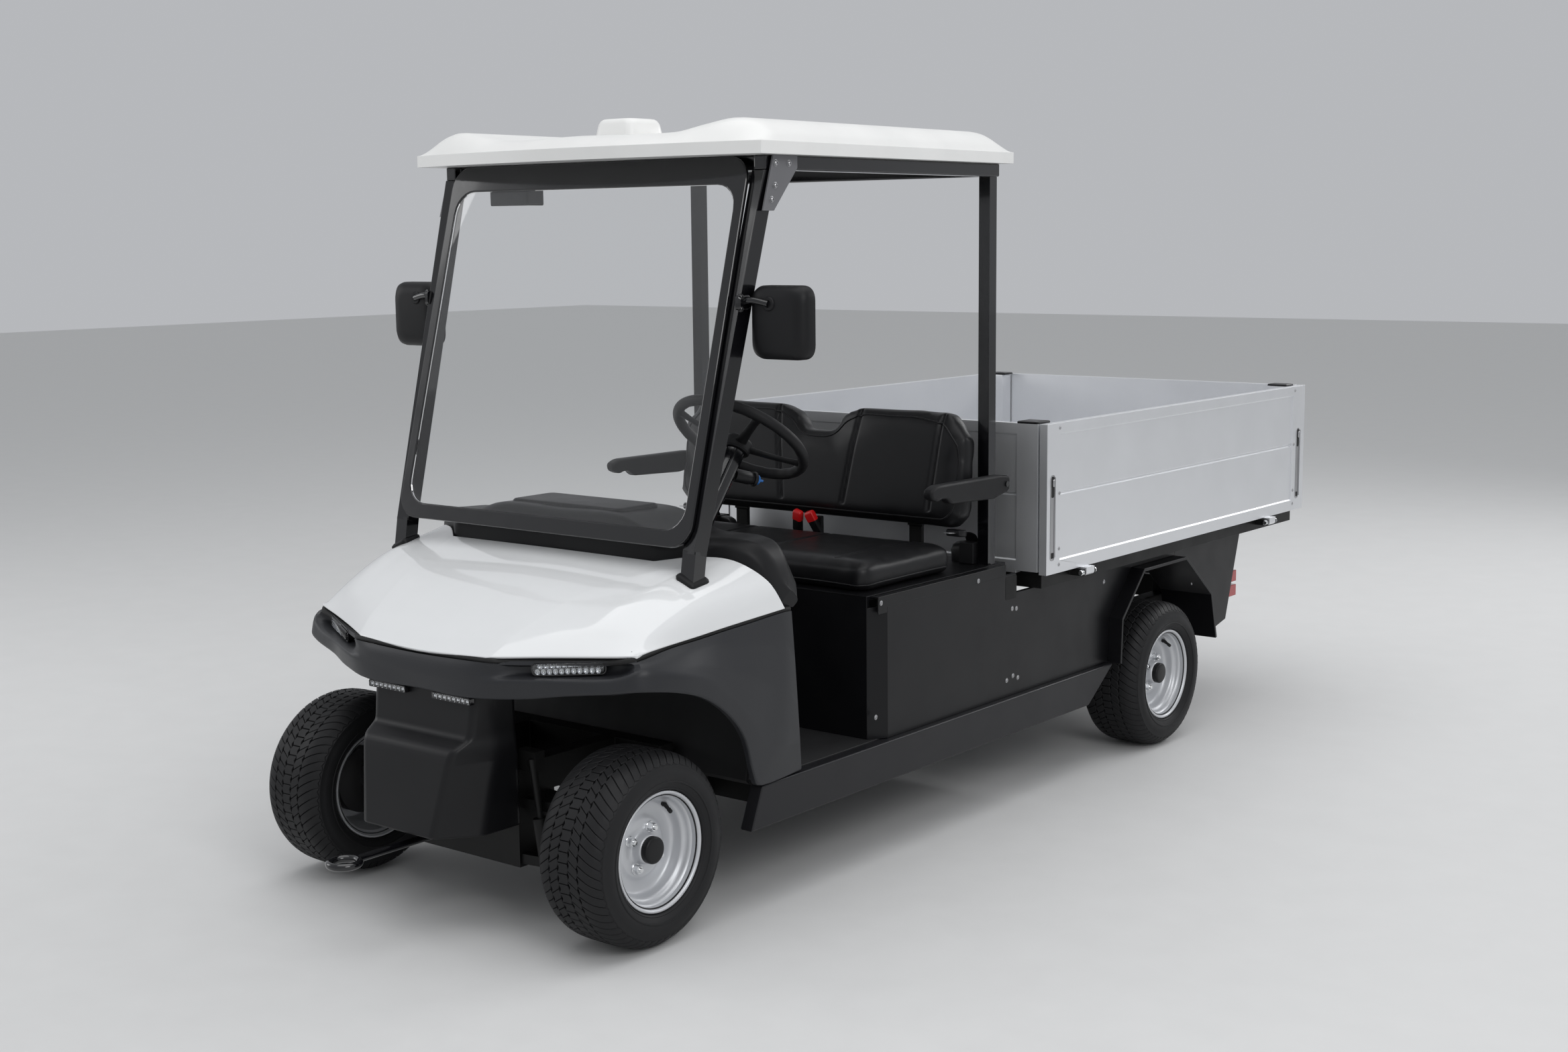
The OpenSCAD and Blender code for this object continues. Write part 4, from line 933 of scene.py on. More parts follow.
    def _valve(self) -> None:
        """Builds the rubber valve stem in the rim."""
        angle = math.radians(self.first_lug - 4)
        out = Vector((math.cos(angle), math.sin(angle), 0))
        foot = out * 112.0 + Vector((0, 0, 42))
        lean = (Vector((0, 0, 1)) - out * 0.55).normalized()
        marks = [(0, 7.5), (4, 7.5), (5, 5.4), (18, 4.6), (19, 4.0), (24, 4.0), (24.5, 5.0), (34, 5.0),
                 (35.5, 3.6)]
        path = [self.place @ ((foot + lean * d) * MM) for d, _ in marks]
        shape = Shape()
        shape.tube(path, [r * MM for _, r in marks], sides=14)
        shape.piece(f"valve_{self.end}", TYRE_RUBBER, "tyre_rubber", self.body, smooth_deg=40)


@dataclass
class FrontEnd:
    """Hood, fascia, apron and lamps.

    Attributes:
        hood_mm: Thickness of the hood's shell.
        fascia_mm: Thickness of the fascia's shell.
        flange: Depth of the flange that the fascia turns in along its lower edge.
        lamp_ends: Middle of a head lamp's inner and outer end.
        lamp_size: Length and height of a head lamp's lens.
        lamp_cells: Reflector cells along a head lamp.
        bar_box: Low and high corner of a running lamp.
        grommet: Middle of the collar where a strut enters the hood.
    """

    hood_mm: float = 8.0
    fascia_mm: float = 9.0
    flange: float = 16.0
    lamp_ends: tuple[Point, Point] = ((318, -137, 645), (470, -59, 655))
    lamp_size: tuple[float, float] = (170.0, 25.0)
    lamp_cells: int = 11
    bar_box: tuple[Point, Point] = ((46, -206, 551), (176, -190, 567.9))
    grommet: Point = (500, 206, 819)

    HOOD_LINES = (
        ((0, -203, 662), (0, -150, 700), (0, -90, 733), (0, 10, 781), (0, 115, 815), (0, 232, 848)),
        ((218, -190, 668), (236, -140, 704), (250, -88, 731), (282, 10, 777), (313, 113, 809),
         (352, 240, 845)),
        ((330, -135, 673), (345, -92, 712), (360, -50, 738), (385, 30, 778), (405, 130, 812),
         (430, 303, 854)),
        ((440, -85, 678), (450, -50, 712), (458, -12, 744), (470, 70, 785), (485, 165, 815), (510, 348, 846)),
        ((515, -55, 683), (522, -22, 706), (530, 20, 726), (545, 100, 755), (558, 200, 781), (575, 394, 797)),
        ((547, -40, 687), (551, 0, 690), (556, 60, 694), (568, 150, 702), (578, 245, 711), (590, 441, 724)),
    )
    CREASE = 1
    FASCIA_LINES = (
        ((0, -203, 653), (0, -207, 645), (0, -211, 630), (0, -214, 612), (0, -207, 569)),
        ((215, -195, 656), (212, -198, 645), (207, -201, 632), (200, -205, 615), (172, -212, 570)),
        ((262, -172, 653), (285, -140, 646), (290, -142, 630), (288, -183, 622), (300, -170, 575)),
        ((390, -110, 656), (395, -80, 657), (392, -82, 634), (385, -135, 626), (400, -128, 588)),
        ((490, -62, 661), (495, -36, 661), (495, -40, 640), (500, -85, 634), (510, -92, 602)),
        ((547, -40, 672), (556, -42, 669), (563, -45, 662), (570, -50, 650), (578, -50, 608)),
        ((556, 60, 686), (575, 55, 672), (590, 50, 652), (600, 42, 632), (600, 42, 592)),
        ((568, 150, 694), (582, 145, 672), (596, 140, 640), (606, 133, 605), (605, 131, 561)),
        ((578, 229, 702), (586, 225, 670), (598, 222, 615), (606, 218, 553), (605, 215, 503)),
        ((584, 320, 708), (590, 312, 660), (600, 300, 580), (606, 285, 490), (605, 268, 435)),
        ((588, 400, 714), (593, 390, 650), (600, 375, 540), (605, 345, 420), (605, 297, 345)),
        ((590, 440, 716), (594, 440, 640), (600, 440, 520), (604, 420, 400), (603, 331, 312.6)),
        ((590, 464, 715), (592, 473, 600), (593, 482, 480), (594, 488, 390), (593, 494, 312.6)),
    )
    APRON_STEPS = (
        (243, -284, 121, -194, 198), (423, -252, 152, -148, 196), (446, -244, 157, -146, 194),
        (470, -200, 168, -140, 190), (545, -190, 172, -150, 190), (610, -185, 172, -150, 188),
    )
    APRON_BACK = -70.0

    def build(self) -> None:
        """Builds the front end."""
        self._hood()
        self._fascia()
        self._apron()
        self._head_lamps()
        self._running_lamps()
        self._grommets()

    def _hood(self) -> None:
        """Builds the gloss white hood with its two creases."""
        lines = [spline(line, 5) for line in guide(self.HOOD_LINES)]
        middle = len(self.HOOD_LINES) - 1
        cuts = (0, middle - self.CREASE, middle + self.CREASE, len(lines) - 1)
        rows = []
        for k in range(len(lines[0])):
            across = [line[k] for line in lines]
            row = [across[0]]
            for a, b in zip(cuts, cuts[1:]):
                row += spline(across[a:b + 1], 6)[1:]
            rows.append(row)
        obj = shell("hood_dressed", rows, Vector((0, -0.3, 1)), self.hood_mm, HOOD_WHITE, "white_paint", 2.4)
        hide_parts("hood")

    def _fascia(self) -> None:
        """Builds the moulded grey fascia with its rolled lower edge, and a dark tube along its top as painted
        shade in the gap under the hood.
        """
        lines = guide(self.FASCIA_LINES)
        columns = [spline([line[j] for line in lines], 4) for j in range(len(lines[0]))]
        rows, gap_shade = [], []
        for k in range(len(columns[0])):
            points = [column[k] for column in columns]
            along = columns[-1][min(k + 1, len(columns[0]) - 1)] - columns[-1][max(k - 1, 0)]
            inward = along.cross(points[-1] - points[-2]).normalized()
            inward *= -1 if inward.dot(Vector((0, FRONT_AXLE_Y + 0.25, 0.5)) - points[-1]) < 0 else 1
            rows.append(fillet(points + [points[-1] + inward * self.flange * MM], 9 * MM))
            edge = points[0]
            inset = -math.copysign(9 * MM, edge.x) * min(1, abs(edge.x) / 0.3)
            gap_shade.append(edge + Vector((inset, 13 * MM * max(0, 1 - abs(edge.x) / 0.6), 4 * MM)))
        obj = shell("fascia_dressed", rows, Vector((0, -1, 0.2)), self.fascia_mm, FASCIA_GREY,
                    "grey_plastic", 1.6)
        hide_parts("front_fascia")
        # Dark tube along the fascia's top edge, under the hood: painted shade of the gap between them.
        shape = Shape()
        shape.tube(gap_shade, 7 * MM, sides=10)
        shape.piece("hood_gap_painted_shade", GAP_SHADE_BLACK, "black_plastic")

    def _apron(self) -> None:
        """Builds the soft-edged black apron with its ledge."""
        sections = []
        for z, front, front_x, side, side_x in self.APRON_STEPS:
            outline = [(side_x, self.APRON_BACK), (-side_x, self.APRON_BACK), (-side_x, side),
                       (-front_x, front), (front_x, front), (side_x, side)]
            sections.append(rounded([spot(x, y, z) for x, y in outline], 16 * MM, 4))
        columns = [fillet(list(column), 13 * MM, 4) for column in zip(*sections)]
        rows = [list(row) for row in zip(*columns)]
        shape = Shape()
        shape.loft(rows)
        obj = shape.piece("apron_dressed", APRON_BLACK, "black_plastic", bevel_mm=5, smooth_deg=60)
        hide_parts("front_apron")

    def _lamp_place(self) -> Matrix:
        """Placing of the left head lamp: local X along it, local Z out of it."""
        inner, outer = (spot(*p) for p in self.lamp_ends)
        along = (outer - inner).normalized()
        out = Vector((along.y, -along.x, 0)).normalized()
        up = out.cross(along)
        return Matrix.Translation((inner + outer) / 2) @ Matrix((along, up, out)).transposed().to_4x4()

    def _head_lamps(self) -> None:
        """Builds the head lamps: a black tray, rows of bright cells and a clear lens."""
        place = self._lamp_place()
        wide, high = self.lamp_size
        tray, cells, diodes, lens = Shape(), Shape(), Shape(), Shape()
        pad(tray, place, [(-13, wide - 4, high + 2, 13), (3, wide + 6, high + 6, 15),
                          (8, wide + 8, high + 8, 16), (8.2, wide + 2, high + 2, 13), (4, wide, high, 12)])
        pitch = (wide - 20) / (self.lamp_cells - 0.5)
        for row, y in enumerate((-5.6, 5.6)):
            for k in range(self.lamp_cells):
                x = -wide / 2 + 12 + (k + row * 0.5) * pitch
                local = place @ Matrix.Translation(Vector((x, y, 4)) * MM)
                cup = [(6.2, 4.4), (5.8, 4.4), (4.6, 2.2), (2.6, 0.8), (0.001, 0.4)]
                cells.revolve(metres(cup), local, steps=12)
                dome = [(2.0, 0.6), (1.9, 1.4), (1.2, 2.1), (0.001, 2.4)]
                diodes.revolve(metres(dome), local, steps=8)
        pad(lens, place, [(9.0, wide, high, 12), (11.4, wide, high, 12), (12.8, wide - 3, high - 3, 10.5)])
        for side, suffix in SIDES:
            forms = [f.sided(side) for f in (tray, cells, diodes, lens)]
            first = forms[0].piece(f"head_lamp_tray_{suffix}", GLOSS_BLACK, "black_plastic", bevel_mm=0.6)
            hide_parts("head_lamps")
            forms[1].piece(f"head_lamp_cells_{suffix}", REFLECTOR, "lamp_lens", closed=False)
            forms[2].piece(f"head_lamp_diodes_{suffix}", LED_WHITE, "lamp_lens", closed=False)
            forms[3].piece(f"head_lamp_lens_{suffix}", LENS, "lamp_lens", smooth_deg=50)

    def _running_lamps(self) -> None:
        """Builds the running lamps under the bumper: a dark tray with a row of clear segments."""
        (x0, y0, z0), (x1, y1, z1) = self.bar_box
        place = facing(spot((x0 + x1) / 2, y1, (z0 + z1) / 2), Vector((0, -1, 0)))
        wide, high, deep = x1 - x0, z1 - z0, y1 - y0
        tray, lens, diodes = Shape(), Shape(), Shape()
        pad(tray, place, [(0, wide, high, 3), (deep - 4, wide, high, 3), (deep - 2, wide - 1, high - 1, 3),
                          (deep - 2.2, wide - 4, high - 4, 2), (deep - 6, wide - 5, high - 5, 2)])
        count = 8
        pitch = (wide - 6) / count
        for k in range(count):
            x = -wide / 2 + 3 + (k + 0.5) * pitch
            local = place @ Matrix.Translation(Vector((x, 0, 0)) * MM)
            pad(lens, local, [(deep - 4.5, pitch - 1.2, high - 5, 2), (deep - 1.2, pitch - 1.2, high - 5, 2),
                              (deep - 0.2, pitch - 3, high - 7, 1.5)], 3)
            diodes.revolve(metres(((3.4, deep - 5.8), (2.6, deep - 5), (0.001, deep - 4.7))),
                           local, steps=12)
        for side, suffix in SIDES:
            forms = [f.sided(side) for f in (tray, lens, diodes)]
            first = forms[0].piece(f"running_lamp_tray_{suffix}", GLOSS_BLACK, "black_plastic")
            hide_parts("running_lamps")
            forms[1].piece(f"running_lamp_lens_{suffix}", LENS, "lamp_lens")
            forms[2].piece(f"running_lamp_diodes_{suffix}", REFLECTOR, "lamp_lens", closed=False)

    def _grommets(self) -> None:
        """Builds the rubber collars where the struts enter the hood."""
        shape = Shape()
        place = facing(spot(*self.grommet), Vector((0.42, -0.16, 0.9)), Vector((0, 1, 0)))
        pad(shape, place, [(-9, 58, 58, 12), (2, 62, 64, 14), (5, 60, 62, 14), (8, 50, 52, 9),
                           (9, 46, 48, 7)])
        shape.double()
        shape.piece("strut_grommets", GRIP, "grip_rubber", smooth_deg=50)


@dataclass
class Cab:
    """Roof, mirrors and the bolts of the cab's frame.

    Attributes:
        roof_w: Width of the roof.
        roof_y: Front and rear end of the roof.
        edge: Thickness of the roof at its edge.
        bow: How far the roof's front corners stand back.
        bump: Middle and size of the raised box on the roof.
        mirror: Middle of the left mirror.
        mirror_size: Width, depth and height of a mirror.
    """

    roof_w: float = 1176.0
    roof_y: tuple[float, float] = (318.0, 1480.0)
    edge: float = 30.0
    bow: float = 52.0
    bump: tuple[Point, Point] = ((-8, 572.5, 40), (134, 135, 69))
    mirror: Point = (626.5, 390, 1410)
    mirror_size: tuple[float, float, float] = (164.0, 50.0, 172.0)

    HEIGHTS = ((0, 62), (0.5, 60), (0.66, 76), (0.8, 88), (0.9, 78), (0.97, 52), (1, 30))

    @cached_property
    def roof_z(self) -> float:
        """Height of the roof's underside in millimetres."""
        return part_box("roof")[0].z / MM

    def build(self) -> None:
        """Builds the cab."""
        self._roof()
        self._bump()
        for side, suffix in SIDES:
            self._mirror(side, suffix)
        self._gusset_bolts()

    def _roof_point(self, u: float, v: float, top: bool) -> Vector:
        """Point of the roof, u from its right edge -1 to its left edge 1 and v from front 0 to rear 1."""
        bow = self.bow * u * u
        y = self.roof_y[0] + bow + (self.roof_y[1] - self.roof_y[0] - bow) * v
        rise = math.sin(math.pi / 2 * min(1, min(v, 1 - v) / 0.07))
        high = self.edge + (through(self.HEIGHTS, abs(u)) - self.edge) * rise
        return spot(u * (self.roof_w / 2 - 12 * v * v), y, self.roof_z + (high if top else 0))

    def _roof(self) -> None:
        """Builds the white roof with its raised border and dished middle."""
        us = [math.sin(math.pi / 2 * k / 36) for k in range(-36, 37)]
        vs = [(1 - math.cos(math.pi * k / 56)) / 2 for k in range(57)]
        top = [[self._roof_point(u, v, True) for v in vs] for u in us]
        low = [[self._roof_point(u, v, False) for v in vs] for u in us]
        shape = Shape()
        shape.grid([a + b[::-1] for a, b in zip(top, low)], around=True)
        shape.grid([top[0], low[0]])
        shape.grid([top[-1], low[-1]])
        obj = shape.piece("roof_dressed", ROOF_WHITE, "white_paint", bevel_mm=10, smooth_deg=55)
        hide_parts("roof")

    def _bump(self) -> None:
        """Builds the raised box on the roof."""
        (x, y, z), (wide, deep, high) = self.bump
        shape = Shape()
        pad(shape, Matrix.Translation(spot(x, y, self.roof_z + z)),
            [(0, wide, deep, 30), (high - 40, wide, deep, 30), (high - 14, wide - 10, deep - 10, 28),
             (high - 5, wide - 20, deep - 20, 26), (high - 1, wide - 32, deep - 32, 22),
             (high, wide - 44, deep - 44, 18)])
        shape.piece("roof_bump", ROOF_WHITE, "white_paint", smooth_deg=60)

    def _mirror(self, side: int, suffix: str) -> None:
        """Builds one mirror: cup, lid lip, glass, arm and clamp.

        Args:
            side: 1 on the cart's left, -1 on its right.
            suffix: End of the pieces' names.
        """
        wide, deep, high = self.mirror_size
        x, y, z = self.mirror
        cup, glass, arm = Shape(), Shape(), Shape()
        place = facing(spot(x, y + deep / 2, z), Vector((0, -1, 0)))
        pad(cup, place, [(0.0, wide - 6, high - 6, 32), (2, wide, high, 36), (deep - 26, wide, high, 36),
                         (deep - 14, wide - 6, high - 6, 38), (deep - 5, wide - 22, high - 22, 38),
                         (deep - 1, wide - 46, high - 46, 34), (deep, wide - 66, high - 66, 28)], 8)
        lid = facing(spot(x, y, z + high / 2 - 22), Vector((0, 0, 1)))
        pad(cup, lid, [(-2, wide + 7, deep + 7, 22), (13, wide + 7, deep + 7, 22),
                       (19, wide - 2, deep - 1, 20), (22, wide - 22, deep - 14, 16)], 8)
        boss = facing(spot(x - 18, y - deep / 2 + 2, z + 44), Vector((0, -1, 0)))
        cup.revolve(metres(((17, -8), (17, 3), (15, 5), (9, 5), (8, 3), (0.001, 3))), boss, 24)
        pad(glass, facing(spot(x, y + deep / 2 + 0.4, z), Vector((0, 1, 0))),
            [(-2, wide - 14, high - 14, 30), (0.6, wide - 14, high - 14, 30)], 8)
        strut = spot(x - wide / 2 - 8, y - 30, z + 46)
        path = spline([strut, spot(x - wide / 2 + 20, y - deep / 2 - 6, z + 52),
                       spot(x - 18, y - deep / 2 - 1, z + 44)], 6)
        arm.tube(path, 8 * MM, 12)
        for drop in (-14, 14):
            screw(arm, strut + Vector((4, -14, drop)) * MM, Vector((0.3, -1, 0)), 6, 5)
        pad(arm, facing(strut, Vector((1, 0, 0))), [(-6, 44, 34, 8), (4, 44, 34, 8), (8, 36, 26, 7)])
        forms = [f.sided(side) for f in (cup, glass, arm)]
        obj = forms[0].piece(f"mirror_{suffix}", DASH_BLACK, "black_plastic", smooth_deg=45)
        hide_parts("mirrors")
        forms[1].piece(f"mirror_glass_{suffix}", MIRROR, "bright_steel")
        forms[2].piece(f"mirror_arm_{suffix}", GLOSS_BLACK, "black_steel")

    def _gusset_bolts(self) -> None:
        """Builds the bolts through the gussets under the roof."""
        low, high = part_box("strut_gussets")
        shape = Shape()
        for y, z in ((0.24, 0.2), (0.34, 0.45), (0.75, 0.85), (0.36, 0.85)):
            at = Vector((high.x, low.y + (high.y - low.y) * y, low.z + (high.z - low.z) * z))
            screw(shape, at, Vector((1, 0, 0)), 6.5, 5)
        shape.double()
        shape.piece("gusset_bolts", STEEL, "bright_steel")


@dataclass
class Controls:
    """Dash, steering wheel, key switch and pedal pads.

    Attributes:
        hub: Middle of the steering wheel.
        tilt: Lean of the steering column in degrees.
        ring_r: Radius of the wheel's ring, to the middle of its grip.
        grip_r: Radius of the grip.
        spokes: Angles of the spokes in degrees.
        toe: Place and height of the toe board's top.
    """

    hub: Point = (280, 655, 1100)
    tilt: float = 38.0
    ring_r: float = 172.0
    grip_r: float = 14.0
    spokes: tuple[float, ...] = (40, 140, 220, 320)
    toe: tuple[float, float] = (430.0, 722.0)

    FRONT = ((0, 236), (350, 245), (430, 308), (510, 352), (575, 406), (590, 463))
    TOP = ((0, 942), (200, 942), (300, 912), (360, 897), (510, 890), (560, 850), (584, 764))
    DASH_TOP = 942.0

    @cached_property
    def wheel_place(self) -> Matrix:
        """Placing of the steering wheel with local Z along the column."""
        return Matrix.Translation(spot(*self.hub)) @ Matrix.Rotation(-math.radians(self.tilt), 4, "X")

    def build(self) -> None:
        """Builds the controls."""
        self._dash()
        self._wheel()
        self._key()
        self._pedal_pads()

    def _dash(self) -> None:
        """Builds the soft-edged black dash and the lid on its top."""
        rows = []
        for k in range(-36, 37):
            x = 584 * math.sin(math.pi / 2 * k / 36)
            front, top = through(self.FRONT, abs(x)), through(self.TOP, abs(x))
            back = (self.DASH_TOP - top) / 4
            section = [(front, self.toe[1] + 18), (front + 40, self.toe[1]), (self.toe[0] + 48, self.toe[1]),
                       (max(front + 60, 545 - back), 0.4 * top + 430), (max(front + 45, 500 - back), top - 6),
                       (front + 34, top), (front + 6, top - 18)]
            rows.append(rounded([spot(x, y, z) for y, z in section], 13 * MM, 4))
        shape = Shape()
        shape.loft(rows)
        obj = shape.piece("dash_dressed", DASH_BLACK, "black_plastic", bevel_mm=4, smooth_deg=50)
        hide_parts("dash")
        lid = Shape()
        pad(lid, Matrix.Translation(spot(0, 370, self.DASH_TOP - 4)),
            [(0, 380, 150, 18), (7, 380, 150, 18), (11, 372, 142, 16), (12, 356, 126, 12)])
        lid.piece("dash_lid", DASH_BLACK, "black_plastic", smooth_deg=50)

    def _wheel(self) -> None:
        """Builds the steering wheel: ring with finger waves, flat spokes and capped hub."""
        shape = Shape()
        scale = self.wheel_place @ Matrix.Scale(MM, 4)
        rows = []
        for a in turns(96):
            out = Vector((math.cos(a), math.sin(a), 0))
            wave = 0.7 * math.cos(24 * a)
            row = []
            for b in turns(18):
                r = self.ring_r + (self.grip_r + wave * (math.cos(b) < 0)) * math.cos(b)
                row.append(scale @ (out * r + Vector((0, 0, (self.grip_r + 0.4 * wave) * math.sin(b)))))
            rows.append(row)
        shape.grid(rows, around=True, along=True)
        for angle in self.spokes:
            turn = Matrix.Rotation(math.radians(angle), 4, "Z")
            marks = [(26, -22, 17, 8), (50, -20, 14, 7), (90, -15, 11.5, 6.5), (135, -7, 11, 6.5),
                     (158, -2, 13, 8), (170, 0, 17, 9)]
            rows = [
                [scale @ turn @ Vector((r, wide * math.cos(b), z + thick * math.sin(b))) for b in turns(16)]
                for r, z, wide, thick in marks
            ]
            shape.grid(rows, around=True)
        hub = [(0.001, -39.5), (34, -39.5), (37, -36), (37, -14), (35, -8), (29, -4), (20, -2), (18, -3),
               (0.001, -3)]
        shape.revolve(metres(hub), self.wheel_place, 48)
        obj = shape.piece("steering_wheel_dressed", GRIP, "grip_rubber", "hand_wheel", smooth_deg=40)
        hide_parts("steering_wheel")
        cap = Shape()
        dome = [(17.6, -3.4), (17.6, -1), (15, 1), (8, 2.2), (0.001, 2.6)]
        cap.revolve(metres(dome), self.wheel_place, 36)
        cap.piece("steering_wheel_cap", APRON_BLACK, "black_plastic", "hand_wheel", closed=False)

    def _key(self) -> None:
        """Builds the key switch under the wheel with its blue knob."""
        place = facing(spot(284, 603, 1013.4), Vector((0.286, 0.924, -0.257)))
        stem, knob = Shape(), Shape()
        barrel = [(0.001, 14), (17, 14), (17, 60), (15, 63), (15, 70), (19, 71), (19, 79), (17, 81),
                  (0.001, 81)]
        stem.revolve(metres(barrel), place, 32)
        stem.piece("key_switch", DASH_BLACK, "black_plastic")
        knob.revolve(metres(((12, 81), (12.5, 82), (12.5, 89), (11, 91), (0.001, 91.5))), place, 28)
        pad(knob, place @ Matrix.Translation(Vector((0, 0, 90)) * MM),
            [(0, 22, 7, 3), (9, 21, 6, 3), (11, 18, 4, 2)])
        knob.piece("key_knob", KEY_BLUE, "black_plastic")

    def _pedal_pads(self) -> None:
        """Builds the ribbed rubber pads on the pedals."""
        shape = Shape()
        for x in (200, 330):
            place = Matrix.Translation(spot(x, 478, 395)) @ Matrix.Rotation(math.radians(30), 4, "X")
            for k in range(6):
                rib = Matrix.Translation(Vector((0, -0.5, 10 + 14 * k)) * MM)
                local = place @ rib @ Matrix.Rotation(math.pi / 2, 4, "X")
                pad(shape, local, [(-1, 74, 9, 2), (3, 74, 8, 2), (4, 72, 5, 2)], 3)
        shape.piece("pedal_pads", GRIP, "grip_rubber")


@dataclass
class Seats:
    """Bench, armrests, buckles and belts.

    Attributes:
        voxel: Edge of the cushions' remeshed faces.
        cap: How far a point of a cushion may swell.
        frames: Steps of the swelling.
        pressure: Pressure inside a cushion.
        arm_x: Middle of the left armrest.
        arm_w: Width of an armrest.
        arm_pin: Place and height of an armrest's pivot.
        arm_l: Length of an armrest from its pivot.
    """

    voxel: float = 10.0
    cap: float = 14.0
    frames: int = 20
    pressure: float = 4.0
    arm_x: float = 572.0
    arm_w: float = 30.0
    arm_pin: tuple[float, float] = (1437.0, 922.0)
    arm_l: float = 370.0

    PIPING_R = 2.6
    BACK_LEAN = 8
    CHANNELS_X = (-400, -130, 130, 400)
    GROOVES = (((112, 860), (150, 1128)), ((408, 860), (432, 1128)))

    def build(self) -> None:
        """Builds the seats."""
        self._cushion()
        self._back()
        for side, suffix in SIDES:
            self._armrest(side, suffix)
        self._buckles()
        self._belts()

    def _swell(self, node: str, name: str, shrink: Point, shift: Point) -> bpy.types.Object:
        """Makes a padded copy of a solid by swelling it.

        Args:
            node: The solid.
            name: Name of the piece.
            shrink: Scale of the start shape about the solid's middle.
            shift: Move of the start shape in millimetres.

        Returns:
            The padded piece.
        """
        low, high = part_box(node)
        middle = (low + high) / 2
        obj = bpy.data.objects.new(name, NODES[node].data.copy())
        bpy.context.scene.collection.objects.link(obj)
        place = NODES[node].matrix_world.copy()
        for v in obj.data.vertices:
            p = place @ v.co - middle
            v.co = middle + Vector(a * b for a, b in zip(p, shrink)) + Vector(shift) * MM
        remesh = obj.modifiers.new("remesh", "REMESH")
        remesh.mode = "VOXEL"
        remesh.voxel_size = self.voxel * MM
        self._apply(obj)
        self._iron(obj, 3)
        self._simulate(obj)
        self._iron(obj, 9)
        obj.data.materials.clear()
        obj.data.materials.append(VINYL.material())
        return obj

    def _iron(self, obj: bpy.types.Object, rounds: int) -> None:
        """Smooths an object's mesh.

        Args:
            obj: The object.
            rounds: Number of rounds.
        """
        obj.modifiers.new("smooth", "SMOOTH").iterations = rounds
        self._apply(obj)

    @staticmethod
    def _apply(obj: bpy.types.Object) -> None:
        """Turns an object's modifiers into its mesh."""
        graph = bpy.context.evaluated_depsgraph_get()
        mesh = bpy.data.meshes.new_from_object(obj.evaluated_get(graph))
        obj.modifiers.clear()
        obj.data = mesh

    def _simulate(self, obj: bpy.types.Object) -> None:
        """Swells an object with cloth pressure, and caps how far its points move.

        Args:
            obj: The object.
        """
        scene = bpy.context.scene
        start = [v.co.copy() for v in obj.data.vertices]
        cloth = obj.modifiers.new("cloth", "CLOTH")
        cloth.settings.use_pressure = True
        cloth.settings.uniform_pressure_force = self.pressure
        cloth.settings.effector_weights.gravity = 0
        cloth.settings.quality = 2
        for k in range(1, self.frames + 1):
            scene.frame_set(k)
        graph = bpy.context.evaluated_depsgraph_get()
        swollen = [v.co.copy() for v in obj.evaluated_get(graph).data.vertices]
        obj.modifiers.clear()
        scene.frame_set(1)
        for v, a, b in zip(obj.data.vertices, start, swollen):
            move = b - a
            v.co = a + move * min(1.0, self.cap * MM / max(move.length, 1e-9))

    def _finish_pad(self, obj: bpy.types.Object, node: str) -> None:
        """Subdivides a padded piece and hands it to the frame.

        Args:
            obj: The piece.
            node: The solid that it stands for.
        """
        obj.modifiers.new("soft", "SUBSURF").levels = 1
        obj.modifiers["soft"].render_levels = 1
        self._apply(obj)
        shade(obj.data, 60)
        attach(obj, CHASSIS)
        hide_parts(node)
        LOG.info("padded piece %s: %d faces", obj.name, len(obj.data.polygons))

    def _press(self, obj: bpy.types.Object, lines: Sequence[Sequence[Vector]], axis: Vector, depth: float,
               wide: float) -> None:
        """Presses sewn channels into the side of a pad that faces against an axis.

        Args:
            obj: The pad.
            lines: Two-point lines of the channels, seen along the axis.
            axis: Direction of the press.
            depth: Depth of a channel in millimetres.
            wide: Half width of a channel in millimetres.
        """
        for v in obj.data.vertices:
            facing_share = max(0.0, -v.normal.dot(axis))
            if facing_share < 0.25:
                continue
            near = min(self._off(v.co, a, b, axis) for a, b in lines) / MM
            v.co += axis * (depth * MM * math.exp(-(near / wide) ** 2) * facing_share)

    @staticmethod
    def _off(p: Vector, a: Vector, b: Vector, axis: Vector) -> float:
        """Distance of a point from a line between two points, seen along an axis."""
        flat = [q - axis * q.dot(axis) for q in (p, a, b)]
        along = flat[2] - flat[1]
        t = max(0.0, min(1.0, (flat[0] - flat[1]).dot(along) / along.length_squared))
        return (flat[0] - flat[1] - along * t).length

    def _piping(self, name: str, obj: bpy.types.Object, seeds: Sequence[Vector], closed: bool = True) -> None:
        """Lays a sewn piping on a pad.

        Args:
            name: Name of the piece.
            obj: The pad.
            seeds: Points near the pad's surface along the seam.
            closed: Joins the end to the start.
        """
        mesh = obj.data
        surface = BVHTree.FromPolygons([v.co for v in mesh.vertices], [f.vertices for f in mesh.polygons])
        path = [surface.find_nearest(p)[0] for p in seeds]
        path += path[:2] if closed else []
        shape = Shape()
        shape.tube(path, self.PIPING_R * MM, 8)
        shape.piece(name, VINYL, "black_vinyl")

